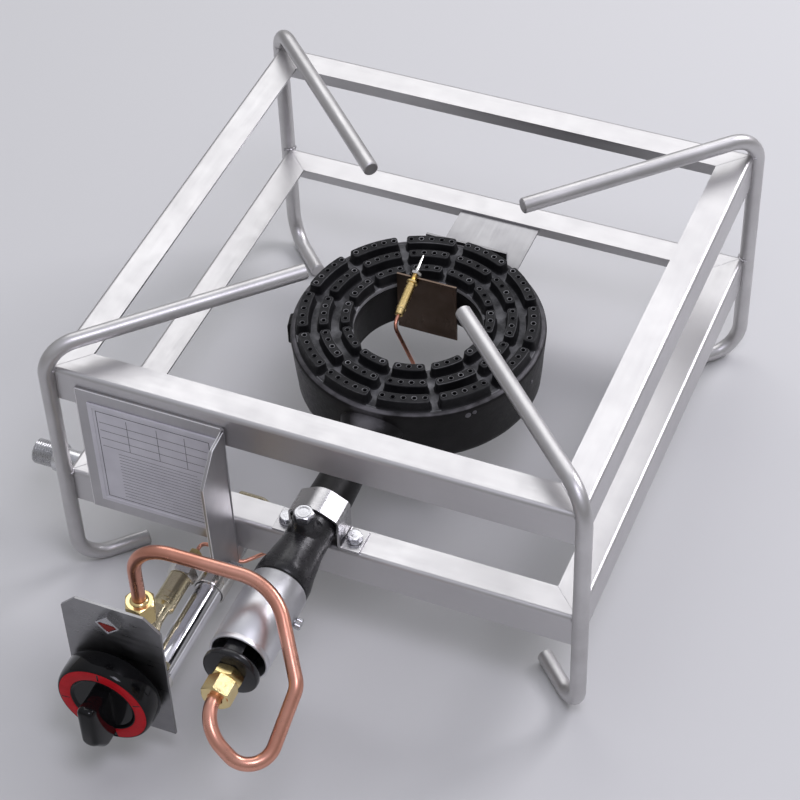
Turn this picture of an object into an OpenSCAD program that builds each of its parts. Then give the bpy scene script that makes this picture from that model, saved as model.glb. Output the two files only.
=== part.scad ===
// Stock pot range: a low gas burner for large pots. Two square rings of steel angle are carried on
// four bent round bars, each of them a pot arm, a leg and a foot. A cast-iron ring burner hangs in
// the lower ring, fed through a mixing tube from a tap with a push-and-turn knob.
// X runs along the front to the right, Y to the back and Z up. Lengths are in millimetres.

/* [Rings] */
// Outside width of both square rings
ring_w = 400; // [380:5:440]
// Height of the upper ring's top face above the floor
upper_ring_top = 211; // [200:1:225]
// Height of the lower ring's top face above the floor
lower_ring_top = 104.5; // [100:0.5:112]
// Width of the angle's top flange
angle_flange = 24; // [22:1:28]
// Height of the angle's outer leg
angle_leg = 29; // [26:1:32]
// Thickness of the angle
angle_t = 2; // [1.5:0.5:2.5]
// Radius on the outside of the angle's bend
angle_bend_r = 3.5; // [3:0.5:4]

/* [Legs] */
// Diameter of the round bar
rod_d = 12; // [10:0.5:13]
// Leg axis outside the ring's outer face
leg_outset = 1.5; // [1:0.5:3]
// Height of the arm's axis above the floor
arm_z = 229; // [224:1:240]
// Distance of an arm's tip from the middle of the burner, along the diagonal
arm_tip = 86; // [70:1:120]
// Length of a foot, from the leg's axis to its tip
foot_len = 55; // [45:1:70]
// Bend radius of the bar, at its axis
rod_bend_r = 24; // [18:1:28]
// Chamfer on the bar's ends
rod_chamfer = 0.8; // [0.4:0.2:1.2]

/* [Burner] */
// Outer radius of the skirt at its edge
skirt_r = 94; // [92:0.5:95]
// Outer radius of the casting under its rounded rim
rim_r = 97.5; // [96:0.5:99]
// Radius of the middle hole at the base plane
hole_r = 49.5; // [48:0.5:50]
// Radius of the middle hole at the bottom
hole_bottom_r = 50; // [49:0.5:51]
// Height of the chamber from its underside to the base plane
skirt_h = 39.5; // [38:0.5:41]
// Drop of the skirt's edge below the chamber's underside
apron_h = 8.5; // [6:0.5:10]
// Height of the ported segments above the base plane
segment_h = 9; // [8:0.5:10]
// Thickness of the cast walls
cast_t = 4.5; // [4:0.5:5]
// Thickness of the burner head's plate
head_t = 4; // [3:0.5:5]
// Segments in each row
segment_count = 12; // [8:1:14]
// Angle left open between two segments
groove_deg = 5; // [4:0.2:6]
// Slope of a segment's walls, as the width gained at its foot
segment_draft = 0.7; // [0.4:0.1:1]
// Inner radii of the rows as shares of the plate's width, from the outermost row inwards
row_in_share = [0.784, 0.418, 0.031];
// Outer radii of the rows as shares of the plate's width
row_out_share = [0.988, 0.596, 0.197];
// Ports in one segment of each row
row_ports = [5, 4, 3];
// Diameter of a port
port_d = 3; // [2:0.2:3.4]
// Distance between two ports
port_pitch = 8; // [7.4:0.1:8.2]
// Venturi axis above the bottom of the burner
neck_rise = 19; // [18:0.5:20]
// Angle of the lug on the skirt, from +X
lug_deg = 194; // [190:1:200]
// Width of the lug
lug_w = 12; // [8:1:16]
// Reach of the lug from the burner's middle
lug_r = 100.5; // [99.5:0.5:102]

/* [Mixing tube] */
// Outer radius of the mixing tube
venturi_r = 16.5; // [15.5:0.25:17.5]
// Radius of the tube's bore
venturi_bore_r = 12; // [11:0.5:12.5]
// Narrowest radius of the bore
throat_r = 9.5; // [8:0.5:11]
// Largest outer radius of the bell, behind the sleeve
bell_r = 21; // [20.5:0.25:21.5]
// Wall of the bell's mouth
bell_wall = 2.8; // [2.4:0.1:3]
// Bell's widest place in front of the ring's face
bell_out = 59; // [56:1:62]
// Start of the flare in front of the ring's face
flare_out = 25; // [24:1:28]
// Length of the bell's straight part inside the sleeve
bell_len = 40; // [36:1:44]
// Radius of the boss on top of the tube
boss_r = 8.5; // [8:0.5:9]
// Middle of the boss in front of the ring's face
boss_out = 13; // [11:0.5:14]
// Height of the boss's top above the tube's axis
boss_rise = 25; // [23:0.5:27]
// Joint between the tube and the burner's neck, behind the ring's face
joint_in = 14; // [12:1:16]
// Length of the tube's spigot in the neck
spigot_len = 16; // [12:1:20]
// Wall of the spigot
spigot_t = 2.3; // [1.8:0.1:2.4]

/* [Saddle strap] */
// Width of the strap
strap_w = 22; // [18:1:24]
// Thickness of the strap
strap_t = 2; // [1.5:0.5:2.5]
// Slope of the strap's two roof faces, in degrees
strap_slope = 29; // [26:1:32]
// Gap between the tube and the strap's upright sides
strap_side_gap = 1; // [0.6:0.1:1.4]
// Distance between the strap's screws
strap_screw_pitch = 53; // [52:0.5:56]
// Distance between the strap's ends
strap_len = 68; // [66:1:74]

/* [Air sleeve and injector] */
// Length of the air sleeve
sleeve_len = 65; // [62:1:68]
// Wall of the air sleeve
sleeve_t = 1.8; // [1.4:0.1:2]
// Air gap between the sleeve and the injector disc
air_gap = 8; // [6:0.5:9]
// Thickness of the injector disc
disc_t = 6; // [5:0.5:7]
// Wall of the carrier's spigot and arms
carrier_t = 2.4; // [2:0.2:2.8]
// Width of the pipe fittings' hexagons across their flats
fitting_af = 20; // [17:1:22]
// Length of the injector nut
injector_nut_len = 15; // [12:1:17]
// Bore of the jet
jet_d = 1.6; // [1:0.1:2]

/* [Feed pipe] */
// Outer diameter of the feed pipe
pipe_d = 10; // [8:0.5:10]
// Wall of the feed pipe
pipe_t = 1; // [0.8:0.1:1.2]
// Reach of the pipe in front of the ring's face, on the injector's axis
pipe_front = 186; // [180:1:190]

/* [Tap] */
// Tap axis to the left of the burner's middle
tap_left = 93; // [92:0.5:95]
// Height of the tap's axis
tap_z = 67; // [65:0.5:69]
// Radius of the tap's body
tap_r = 11; // [10.5:0.25:11.5]
// Radius of the tap's neck
neck_r = 6.2; // [6:0.1:6.5]
// Radius of the magnet housing
magnet_r = 8.5; // [8:0.25:9]
// Width of the magnet nut across its flats
nut_af = 19; // [18:0.5:19]
// Travel of the knob when it is pushed in
push_travel = 4; // [3:0.5:4]
// Height of the outlet nut's middle
outlet_nut_z = 97; // [94:0.5:98]
// Length of the outlet nut
outlet_nut_len = 18; // [14:0.5:20]

/* [Control plate and knob] */
// Width of the control plate
plate_w = 76; // [74:1:84]
// Height of the control plate
plate_h = 123; // [118:1:128]
// Bottom edge of the control plate above the floor
plate_bottom = 24; // [20:1:26]
// Thickness of the control plate
plate_t = 2; // [1.5:0.5:2.5]
// Cut on the plate's two upper corners
plate_chamfer = 12; // [8:1:16]
// Back of the control plate in front of the ring's face
plate_out = 135; // [133:0.5:137]
// Width of the square plug's head
plug_w = 13; // [11:0.5:14]
// Diameter of the knob
knob_d = 73; // [68:1:75]
// Depth of the knob's skirt
knob_depth = 18; // [16:0.5:20]
// Space between the plate and the knob's skirt
knob_space = 5; // [4.5:0.5:6]
// Width of the knob's grip bar
grip_w = 14; // [12:0.5:16]
// Height of the grip bar above the knob's face
grip_h = 24; // [20:1:26]
// Inner radius of the coloured ring
mark_in_r = 25; // [23:0.5:27]
// Outer radius of the coloured ring
mark_out_r = 34; // [32:0.5:34]

/* [Manifold] */
// Manifold tube's axis to the left of the burner's middle
tube_left = 75; // [74:0.5:76]
// Height of the manifold tube's axis
tube_z = 51; // [49:0.5:52]
// Outer radius of the manifold tube
tube_r = 10.65; // [10:0.05:10.8]
// Wall of the manifold tube
tube_t = 1.5; // [1:0.1:2]
// Outer radius of the manifold socket
socket_r = 12.5; // [12:0.25:12.5]
// Gas inlet pipe's axis behind the ring's face
inlet_in = 52; // [48:1:56]
// Outer radius of the inlet pipe
inlet_r = 8.5; // [8:0.25:8.6]
// Outer radius of the inlet's thread
thread_r = 10; // [9.9:0.05:10.5]
// Length of the inlet's thread
thread_len = 18; // [14:1:20]
// End of the inlet pipe outside the ring's left face
inlet_out = 62; // [55:1:70]

/* [Label bracket] */
// Left edge of the bracket's panel, inwards from the leg's axis
panel_inset = 21.5; // [18:0.5:24]
// Outer face of the bracket's wing, left of the burner's middle
wing_x = 62; // [61:0.5:63]
// Bottom edge of the panel below the lower ring's top
panel_drop = 27.5; // [26:0.5:29]
// Top edge of the panel below the upper ring's top
panel_top_drop = 11; // [9:1:14]
// Thickness of the bracket
panel_t = 2; // [1.5:0.5:2]
// Panel left bare on the left of the label plate
label_in = 9; // [7:0.5:10]
// Panel left bare on the right of the label plate
label_end = 7; // [5:0.5:9]
// Panel left bare below the label plate
label_up = 11; // [10:1:13]
// Panel left bare above the label plate
label_down = 11; // [10:1:13]

/* [Thermocouple] */
// Distance of the upright tab behind the burner's middle
tab_back = 32; // [30:0.5:34]
// Width of the upright tab
tab_w = 49; // [46:0.5:50]
// Left edge of the tab, left of the burner's middle
tab_left = 30.5; // [29:0.5:30.5]
// Thickness of the tab
tab_t = 1.5; // [1:0.25:1.5]
// Height of the tab's top edge above the base plane
tab_rise = 15.5; // [14:0.5:17]
// Probe's axis left of the burner's middle
probe_left = 16.5; // [15:0.5:18]
// Upward tilt of the probe, in degrees
probe_tilt = 18; // [14:1:22]
// Radius of the probe's brass body
probe_r = 3.6; // [3.2:0.1:3.8]
// Length of the probe's brass body behind the tab
probe_len = 31; // [28:1:34]
// Length of the probe's needle past the tab
needle_len = 20; // [17:1:23]
// Diameter of the copper lead
lead_d = 3; // [2:0.25:3]

/* [Rear bracket] */
// Width of the rear bracket
rear_w = 68; // [62:1:74]
// Height of the rear bracket's upright tab above its flat part
rear_tab_h = 38.5; // [34:0.5:42]
// Thickness of the rear bracket
rear_t = 2; // [1.5:0.5:2.5]

/* [Hidden] */
$fn = 64;

// Clearances: between seated faces, round a screw or pipe, and round a part that turns or slides
seat_gap = 0.1;
hole_gap = 0.15;
run_gap = 0.05;
// What a cut runs past the face that it opens
over = 1;
// Bead where a bend meets a straight run
bead_len = 0.3;
bead_gain = 0.02;

// Screws: shank radius, width across the flats, head height and washer
small_screw_r = 2.5;
small_af = 8;
small_head = 3;
screw_r = 3;
screw_af = 10;
screw_head = 4;
washer_r = 6;
washer_t = 1.2;
bolt_r = 4;
bolt_af = 13;
bolt_head = 5.3;
nut_h = 5;
thread_out = 1;

// Places that follow from the rings
front_y = -ring_w / 2;
leg_xy = ring_w / 2 + leg_outset;
grid = 0.01;
leg_d = round(leg_xy * sqrt(2) / grid) * grid;
rod_r = rod_d / 2;

// The burner sits over the middle of the rings, its bottom set by the tube on the front flange
venturi_z = lower_ring_top + seat_gap + venturi_r;
burner_bottom = venturi_z - neck_rise;
base_z = burner_bottom + skirt_h;
seat_z = base_z - head_t;
segment_top = base_z + segment_h;
rear_space = 2.7;
rear_tab_y = max(skirt_r, rim_r) + rear_space;
rim_wall = 4.2;
rim_round = 3.5;
inner_wall_t = 3.5;
lug_h = 20;
lug_drop = 1;
skirt_z = burner_bottom - apron_h;
head_fit = 0.2;
plate_r = rim_r - rim_wall - head_fit;
row_start = hole_r + segment_draft;
row_span = plate_r - segment_draft - row_start;
row_in = [for (share = row_in_share) row_start + row_span * share];
row_out = [for (share = row_out_share) row_start + row_span * share];
ledge_w = 2;
neck_in_r = 13;
neck_bore_step = 1.15;
spigot_r = venturi_bore_r + spigot_t;
stay_x = 20;
stay_up = 16;
stay_depth = 10;
stay_pad_r = 7;

// Places along the tube, as Y
strap_shift = 0.6;
strap_y = front_y + angle_flange / 2 - strap_shift;
joint_y = front_y + joint_in;
boss_y = front_y - boss_out;
bell_y = front_y - bell_out;
bell_rim = 2;
sleeve_back = bell_y - bell_rim;
sleeve_front = sleeve_back - sleeve_len;
disc_back = sleeve_front - air_gap;
disc_front = disc_back - disc_t;
bell_end = sleeve_back - bell_len;
sleeve_step = 0.8;
sleeve_r = bell_r + sleeve_step;
sleeve_in_r = sleeve_r - sleeve_t;
mouth_r = sleeve_in_r - run_gap * 2;
mouth_in_r = mouth_r - bell_wall;
disc_step = 0.5;
disc_r = bell_r - disc_step;
sleeve_screw_in = 19;
sleeve_screw_y = sleeve_back - sleeve_screw_in;
spigot_in_len = 11;
sleeve_screw_deg = -14;

// Injector fitting and nut
fitting_flange = 8;
fitting_r = 6.5;
fitting_bore_r = 3.5;
jet_gap = 1;
stub_len = 7;
nut_back = disc_front - fitting_flange - seat_gap * 2;
nut_front = nut_back - injector_nut_len;
nut_mouth_t = 0.8;
nut_mouth_len = 7;
pipe_start_gap = 0.6;

// Tap: its axis is along Y, at tap_x
tap_x = -tap_left;
plate_back = front_y - plate_out;
plate_front = plate_back - plate_t;
tap_front = plate_back + seat_gap;
bonnet_t = 4;
plug_front = tap_front + bonnet_t + seat_gap;
plug_len = 27;
plug_end = plug_front + plug_len;
cone_gap = 1.5;
plug_front_r = 8;
plug_end_r = 6;
spring_recess = 10;
spring_recess_r = 5.5;
blade_slot = 12;
stem_r = 2.5;
collar_r = 5.2;
collar_t = 1.5;
blade_w = 6;
blade_t = 2;
pushrod_r = 1.5;
gas_r = 3;
spindle_r = 4;
barrel_len = 35;
outlet_at = 41;
outlet_y = tap_front + outlet_at;
outlet_r = 7.5;
outlet_bore_r = 3;
neck_len = 17;
tap_len = 73;
flange_end = tap_front + tap_len;
seat_flange = 4;
neck_flare = 1;
clamp_at = 16;
clamp_y = tap_front + clamp_at;
clamp_gap = 2;
clamp_t = 1.5;
clamp_half = 19;
clamp_screw_r = 1.5;
clamp_screw_in = 3;
foot_t = 5;

// Magnet valve, behind the tap's neck
valve_r = 5.8;
valve_t = 2.4;
valve_stem_r = 1.2;
valve_stem_in = 2;
valve_front = flange_end + seat_gap;
magnet_wall = 1.9;
housing_len = 24;
housing_end = flange_end + seat_gap + housing_len;
unit_in = 10;
unit_front = flange_end + unit_in;
unit_stub_r = 4;
unit_stub_len = 20.5;
magnet_nut_len = 9;
lead_nut_af = 9;
lead_nut_len = 8;
unit_end = housing_end + unit_stub_len;
lead_nut_front = unit_end + seat_gap;
lead_nut_end = lead_nut_front + lead_nut_len;

// Springs: wire radius, mean radius and turns
wire_r = 0.45;
spring_r = 3.9;
spring_turns = 4;
spring_start = plug_front + collar_t + wire_r + seat_gap;
spring_end = plug_front + spring_recess - wire_r - seat_gap;
valve_spring_r = 2.6;
valve_spring_start = valve_front + valve_t + wire_r + seat_gap;
valve_spring_end = unit_front - wire_r - seat_gap;

// Manifold
tube_x = -tube_left;
tube_front = plate_back + seat_gap * 3;
socket_space = 5;
socket_len = 25;
socket_back = front_y - socket_space;
socket_front = socket_back - socket_len;
inlet_y = front_y + inlet_in;
elbow_r = 14;
elbow_len = 15;
inlet_x = -ring_w / 2 - inlet_out;
shoulder_r = 11.5;
shoulder_len = 6;

// Label bracket and its wing
panel_left = leg_xy - panel_inset;
panel_y = front_y - seat_gap;
panel_bottom = lower_ring_top - panel_drop;
panel_top = upper_ring_top - panel_top_drop;
label_front = panel_y - panel_t - seat_gap;
label_t = 0.8;
label_border = 4;
label_lip = 0.5;
label_x = -panel_left + label_in;
label_w = panel_left - wing_x - label_in - label_end;
label_h = panel_top - panel_bottom - label_up - label_down;
wing_bolt_out = 17.5;
wing_bolt_y = front_y - wing_bolt_out;
wing_bolt_up = 23;
wing_bolt_z = tube_z + wing_bolt_up;
wing_bolt_end = 10;
ear_t = 4;
ear_r = 7;

// Knob
knob_back = plate_front - knob_space;
knob_face = knob_back - knob_depth;
knob_r = knob_d / 2;
knob_wall = 4;
knob_edge_r = 3;
hub_r = 9;
shaft_end = knob_face + knob_wall;
d_flat = 2.6;
mark_t = 0.6;
hollow_r = mark_in_r - mark_t;
grip_sink = 2;
grip_low = knob_r - knob_edge_r - grip_w / 2;
grip_high = hollow_r - grip_w;

// Thermocouple
probe_drop = 1.5;
probe_z = base_z + tab_rise - probe_drop;
probe_gap = 1.4;
bracket_top = burner_bottom - seat_gap;
bracket_foot = 30;
bracket_screw_in = 23;
bracket_screw_y = tab_back + bracket_screw_in;
bracket_foot_shift = 1;
bracket_screw_x = -tab_left + tab_w / 2 + bracket_foot_shift;
blind_wall = 1;
slot_r = 2.6;
probe_screw_r = 2.4;
probe_nut_t = 2.5;
probe_nut_r = 4.4;
lead_r = lead_d / 2;
lead_in = 4;
lead_straight = 13;

// Control plate's middle, right of the tap's axis, and its plug
plate_shift = 3;
plug_head = 5;
plug_drop = 13;
plug_x = tap_x + plate_shift;
plug_z = plate_bottom + plate_h - plug_drop;
plug_recess = 1;
plug_turn = 42;

// Corners of the feed pipe, from the point where the tube's axis meets the ring's face
pipe_low_out = 9;
pipe_corners = [
    [0, -pipe_front, 2], [44, -pipe_front - pipe_low_out, -37], [50, -139, 8], [12, -85, 37]];
pipe_rise = 46;
pipe_bends = [25, 18, 15, 44, 27];

// Corners of the copper lead: from the burner's bottom, from the ring's face at the panel's bottom,
// from the wing's foot, from the top of the link pipe and from the tap's axis
lead_hole = [3, -10, -2];
lead_inside = [-44, 16, -16];
lead_wing = [0, -1, -19.5];
lead_tube = [-5, 1, 6.5];
lead_tap = [0, -1, 0];
lead_bends = [8, 12, 14, 8, 7, 4.5];

// Corners of the bracket's wing, from the ring's face at the panel's top and at its bottom
wing_top = [[-2, 0], [-22, -2], [-41.5, -23]];
wing_bottom = [[-38.5, 16], [-8.5, -19], [9, -11], [0, -1.8]];

// The origin is the middle of the whole on the floor, so that the model is moved by this much.
// The pipe's lower bend reaches pipe_bulge past its first corner.
pipe_bulge = 9.8;
pipe_reach = front_y - pipe_front - pipe_bulge;
origin_x = -(leg_xy + rod_r + inlet_x) / 2;
origin_y = -(leg_xy + rod_r + pipe_reach) / 2;

steel = "Silver";
iron = [0.13, 0.13, 0.14];
brass = [0.80, 0.66, 0.36];
copper = [0.75, 0.45, 0.34];
chrome = [0.86, 0.86, 0.88];
black = [0.08, 0.08, 0.09];
red = [0.55, 0.08, 0.09];

// Helpers

function unit(v) = v / norm(v);

// Tangent length of the bend at a path's corner i
function tangent(path, bends, i) =
    (i <= 0 || i >= len(path) - 1) ? 0 :
    bends[i - 1] * tan(turn(path, i) / 2);

// Angle through which the path turns at corner i
function turn(path, i) =
    acos(min(1, max(-1, unit(path[i] - path[i - 1]) * unit(path[i + 1] - path[i]))));

module placed()
{
    translate([origin_x, origin_y, 0]) children();
}

// Turns a child built along +Z so that it runs along v from p
module along(p, v)
{
    n = unit(v);
    side = abs(n[2]) > 0.9 ? [1, 0, 0] : [0, 0, 1];
    e = unit(cross(side, n));
    f = cross(n, e);
    multmatrix([
        [e[0], f[0], n[0], p[0]],
        [e[1], f[1], n[1], p[1]],
        [e[2], f[2], n[2], p[2]],
        [0, 0, 0, 1]]) children();
}

// A round bar or pipe along corner points, with a true arc at each inner corner.
// A bead of bead_gain round both ends of a bend joins runs that meet at odd angles.
module bent_rod(path, bends, r, beads = true)
{
    last = len(path) - 1;
    for (i = [0 : last - 1]) {
        dir = unit(path[i + 1] - path[i]);
        start = path[i] + dir * tangent(path, bends, i);
        stop = path[i + 1] - dir * tangent(path, bends, i + 1);
        along(start, dir) cylinder(r = r, h = norm(stop - start));
        if (beads && i > 0) bead(start, dir, r);
        if (beads && i < last - 1) bead(stop, dir, r);
    }
    for (i = [1 : last - 1]) {
        d0 = unit(path[i] - path[i - 1]);
        d1 = unit(path[i + 1] - path[i]);
        bend = bends[i - 1];
        start = path[i] - d0 * tangent(path, bends, i);
        n = unit(cross(d0, d1));
        e = cross(d0, n);
        c = start - e * bend;
        multmatrix([
            [e[0], d0[0], n[0], c[0]],
            [e[1], d0[1], n[1], c[1]],
            [e[2], d0[2], n[2], c[2]],
            [0, 0, 0, 1]])
            rotate_extrude(angle = turn(path, i))
                translate([bend, 0]) circle(r = r);
    }
}

module bead(at, dir, r)
{
    along(at - dir * bead_len / 2, dir) cylinder(r = r + bead_gain, h = bead_len);
}

// The outline of a bent sheet's edge, along corner points, with an arc at each inner corner
module bent_strip(path, bends, t, beads = false)
{
    last = len(path) - 1;
    for (i = [0 : last - 1]) {
        dir = unit(path[i + 1] - path[i]);
        start = path[i] + dir * tangent(path, bends, i);
        stop = path[i + 1] - dir * tangent(path, bends, i + 1);
        translate(start) rotate(atan2(dir[1], dir[0]))
            translate([0, -t / 2]) square([norm(stop - start), t]);
        for (end = [start, stop])
            if (beads) translate(end) rotate(atan2(dir[1], dir[0]))
                square([bead_len, t + bead_gain * 2], center = true);
    }
    for (i = [1 : last - 1]) {
        d0 = unit(path[i] - path[i - 1]);
        d1 = unit(path[i + 1] - path[i]);
        left = d0[0] * d1[1] - d0[1] * d1[0] > 0 ? 1 : -1;
        bend = bends[i - 1];
        start = path[i] - d0 * tangent(path, bends, i);
        stop = path[i] + d1 * tangent(path, bends, i);
        c = start + left * bend * [-d0[1], d0[0]];
        reach = (bend + t) * 2 / bend;
        intersection() {
            translate(c) difference() {
                circle(r = bend + t / 2);
                circle(r = bend - t / 2);
            }
            polygon([c, c + (start - c) * reach, c + (path[i] - c) * reach, c + (stop - c) * reach]);
        }
    }
}

// Cylinder along +Y from y0 to y1
module y_cylinder(x, z, y0, y1, r, r2 = undef)
{
    translate([x, y0, z]) rotate([-90, 0, 0])
        cylinder(r1 = r, r2 = is_undef(r2) ? r : r2, h = y1 - y0);
}

// Hexagonal prism along +Y from y0 to y1
module y_hexagon(x, z, y0, y1, af)
{
    translate([x, y0, z]) rotate([-90, 0, 0])
        cylinder(r = af / 2 / cos(30), h = y1 - y0, $fn = 6);
}

// Profile with points (radius, Y) turned round an axis along Y
module y_turned(x, z)
{
    translate([x, 0, z]) rotate([-90, 0, 0]) rotate_extrude() children();
}

// Hexagon screw along -Z, its head's underside at the origin, with a washer and a nut
module hex_screw(r, af, head, length, washer = true, nut_at = 0)
{
    lift = washer ? washer_t : 0;
    translate([0, 0, lift]) cylinder(r = af / 2 / cos(30), h = head, $fn = 6);
    if (washer) cylinder(r = washer_r, h = washer_t);
    translate([0, 0, -length]) cylinder(r = r, h = length + lift);
    if (nut_at > 0)
        translate([0, 0, -nut_at - nut_h]) cylinder(r = af / 2 / cos(30), h = nut_h, $fn = 6);
}

// Coil spring along +Z, from the middle of its first turn's wire
module coil(r, length, turns)
{
    steps = 14;
    sides = 6;
    count = turns * steps;
    points = [for (i = [0 : count]) for (k = [0 : sides - 1])
        let (a = 360 * i / steps, b = 360 * k / sides, q = r + wire_r * cos(b))
        [q * cos(a), q * sin(a), length * i / count + wire_r * sin(b)]];
    walls = [for (i = [0 : count - 1]) for (k = [0 : sides - 1])
        let (m = (k + 1) % sides)
        [i * sides + k, i * sides + m, (i + 1) * sides + m, (i + 1) * sides + k]];
    ends = [[for (k = [sides - 1 : -1 : 0]) k], [for (k = [0 : sides - 1]) count * sides + k]];
    polyhedron(points = points, faces = concat(walls, ends));
}

// Frame

// Angle rail along X at the front, mitred at both ends and notched for the legs
module rail(top)
{
    half = ring_w / 2;
    flange_z = top - angle_t / 2;
    leg_y = -half + angle_t / 2;
    difference() {
        intersection() {
            translate([-half, 0, 0]) rotate([90, 0, 90]) linear_extrude(ring_w)
                bent_strip(
                    [[-half + angle_flange, flange_z], [leg_y, flange_z], [leg_y, top - angle_leg]],
                    [angle_bend_r - angle_t / 2], angle_t);
            translate([0, 0, top - angle_leg - over]) linear_extrude(angle_leg + over * 2)
                polygon([
                    [-half, -half - over], [half, -half - over], [half - seat_gap, -half],
                    [half - angle_flange - over - seat_gap, -half + angle_flange + over],
                    [-half + angle_flange + over + seat_gap, -half + angle_flange + over],
                    [-half + seat_gap, -half]]);
        }
        for (side = [-1, 1])
            translate([side * leg_xy, -leg_xy, top - angle_leg - over])
                cylinder(r = rod_r + seat_gap, h = angle_leg + over * 2);
    }
}

module saddle_holes(z, depth)
{
    for (side = [-1, 1])
        translate([side * strap_screw_pitch / 2, strap_y, z - depth])
            cylinder(r = screw_r + hole_gap, h = depth + over);
}

module upper_front_rail() color(steel) placed() rail(upper_ring_top);
module upper_right_rail() color(steel) placed() rotate(90) rail(upper_ring_top);
module upper_back_rail() color(steel) placed() rotate(180) rail(upper_ring_top);
module upper_left_rail() color(steel) placed() rotate(270) rail(upper_ring_top);

module lower_front_rail()
{
    color(steel) placed() difference() {
        rail(lower_ring_top);
        saddle_holes(lower_ring_top, angle_t + over);
    }
}

module lower_right_rail() color(steel) placed() rotate(90) rail(lower_ring_top);
module lower_back_rail() color(steel) placed() rotate(180) rail(lower_ring_top);
module lower_left_rail() color(steel) placed() rotate(270) rail(lower_ring_top);

// Pot arm, leg and foot, bent from one bar in the diagonal's upright plane
module leg(deg)
{
    tip = [arm_tip + rod_chamfer, arm_z, 0];
    toe = [leg_d - foot_len + rod_chamfer, rod_r, 0];
    color(steel) placed() rotate([90, 0, deg]) {
        bent_rod([tip, [leg_d, arm_z, 0], [leg_d, rod_r, 0], toe], [rod_bend_r, rod_bend_r], rod_r, false);
        for (end = [tip, toe])
            along(end, [-1, 0, 0]) cylinder(r1 = rod_r, r2 = rod_r - rod_chamfer, h = rod_chamfer);
    }
}

module leg_front_left() leg(225);
module leg_front_right() leg(315);
module leg_back_left() leg(135);
module leg_back_right() leg(45);

// Burner

// Skirt, inner wall and bottom in one casting, open at the top, with the neck at the front
module burner_body()
{
    chamber_z = burner_bottom + cast_t;
    round_z = base_z - rim_round;
    round_step = 15;
    outer_at_seat = skirt_r + (rim_r - skirt_r) * (seat_z - skirt_z) / (round_z - skirt_z);
    color(iron) placed() difference() {
        union() {
            rotate_extrude() polygon([
                [hole_bottom_r, burner_bottom], [skirt_r - cast_t, burner_bottom],
                [skirt_r - cast_t, skirt_z], [skirt_r, skirt_z],
                for (a = [0 : round_step : 90])
                    [rim_r - rim_round + rim_round * cos(a), round_z + rim_round * sin(a)],
                [rim_r - rim_wall, base_z], [rim_r - rim_wall, seat_z],
                [outer_at_seat - cast_t - ledge_w, seat_z],
                [skirt_r - cast_t, chamber_z], [hole_bottom_r + cast_t, chamber_z],
                [hole_r + inner_wall_t, seat_z - seat_gap], [hole_r, seat_z - seat_gap]]);
            y_cylinder(0, venturi_z, joint_y, joint_y + spigot_len, venturi_r);
            y_cylinder(0, venturi_z, joint_y + spigot_len, -rim_r + cast_t, venturi_r, neck_in_r);
            for (side = [-1, 1])
                y_cylinder(side * stay_x, burner_bottom + stay_up, rim_r - cast_t * 2,
                    rear_tab_y - seat_gap, stay_pad_r);
            rotate(lug_deg) translate([rim_r - cast_t, -lug_w / 2, round_z - lug_drop - lug_h])
                cube([lug_r - rim_r + cast_t, lug_w, lug_h]);
        }
        translate([0, 0, seat_z]) cylinder(r = rim_r - rim_wall, h = head_t + over);
        y_cylinder(0, venturi_z, joint_y - over, -rim_r + cast_t * 2, venturi_bore_r - neck_bore_step);
        y_cylinder(0, venturi_z, joint_y - over, joint_y + spigot_len + seat_gap, spigot_r + hole_gap);
        for (side = [-1, 1])
            y_cylinder(side * stay_x, burner_bottom + stay_up, rear_tab_y - stay_depth,
                rear_tab_y + over, small_screw_r + hole_gap);
        translate([bracket_screw_x, bracket_screw_y, burner_bottom - over])
            cylinder(r = small_screw_r + hole_gap, h = cast_t + over - blind_wall);
    }
}

// One segment, an arc of the row with sloping inner and outer walls
module segment(row)
{
    span = 360 / segment_count - groove_deg;
    rotate(-span / 2) rotate_extrude(angle = span)
        polygon([
            [row_in[row] - segment_draft, base_z - over], [row_out[row] + segment_draft, base_z - over],
            [row_out[row] + segment_draft, base_z], [row_out[row], segment_top],
            [row_in[row], segment_top], [row_in[row] - segment_draft, base_z]]);
}

// Ported head: a ring plate that seats in the body's rim, with three rows of segments
module burner_head()
{
    row_mid = (row_in + row_out) / 2;
    step = 360 / segment_count;
    color(black) placed() difference() {
        union() {
            difference() {
                translate([0, 0, seat_z + seat_gap])
                    cylinder(r = plate_r, h = head_t - seat_gap, $fn = 128);
                translate([0, 0, seat_z - over]) cylinder(r = hole_r, h = head_t + over * 2, $fn = 128);
            }
            for (row = [0 : 2], i = [0 : segment_count - 1])
                rotate((i + 0.5) * step) segment(row);
        }
        for (row = [0 : 2], i = [0 : segment_count - 1], k = [0 : row_ports[row] - 1])
            rotate((i + 0.5) * step + (k - (row_ports[row] - 1) / 2) * port_pitch / row_mid[row] * 180 / PI)
                translate([row_mid[row], 0, seat_z - over])
                cylinder(r = port_d / 2, h = head_t + segment_h + over * 2, $fn = 24);
    }
}

// Sheet from under the back rail's flange to the burner, bent up at its end
module rear_bracket()
{
    top = lower_ring_top - angle_t - seat_gap;
    mid_z = top - rear_t / 2;
    back = ring_w / 2 - angle_bend_r - seat_gap;
    tab_y = rear_tab_y + rear_t / 2;
    color(steel) placed() difference() {
        translate([-rear_w / 2, 0, 0]) rotate([90, 0, 90]) linear_extrude(rear_w)
            bent_strip(
                [[back, mid_z], [tab_y, mid_z], [tab_y, mid_z + rear_tab_h]],
                [rear_t], rear_t);
        for (side = [-1, 1])
            y_cylinder(side * stay_x, burner_bottom + stay_up, rear_tab_y - over,
                rear_tab_y + rear_t + over, small_screw_r + hole_gap);
    }
}

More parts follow.
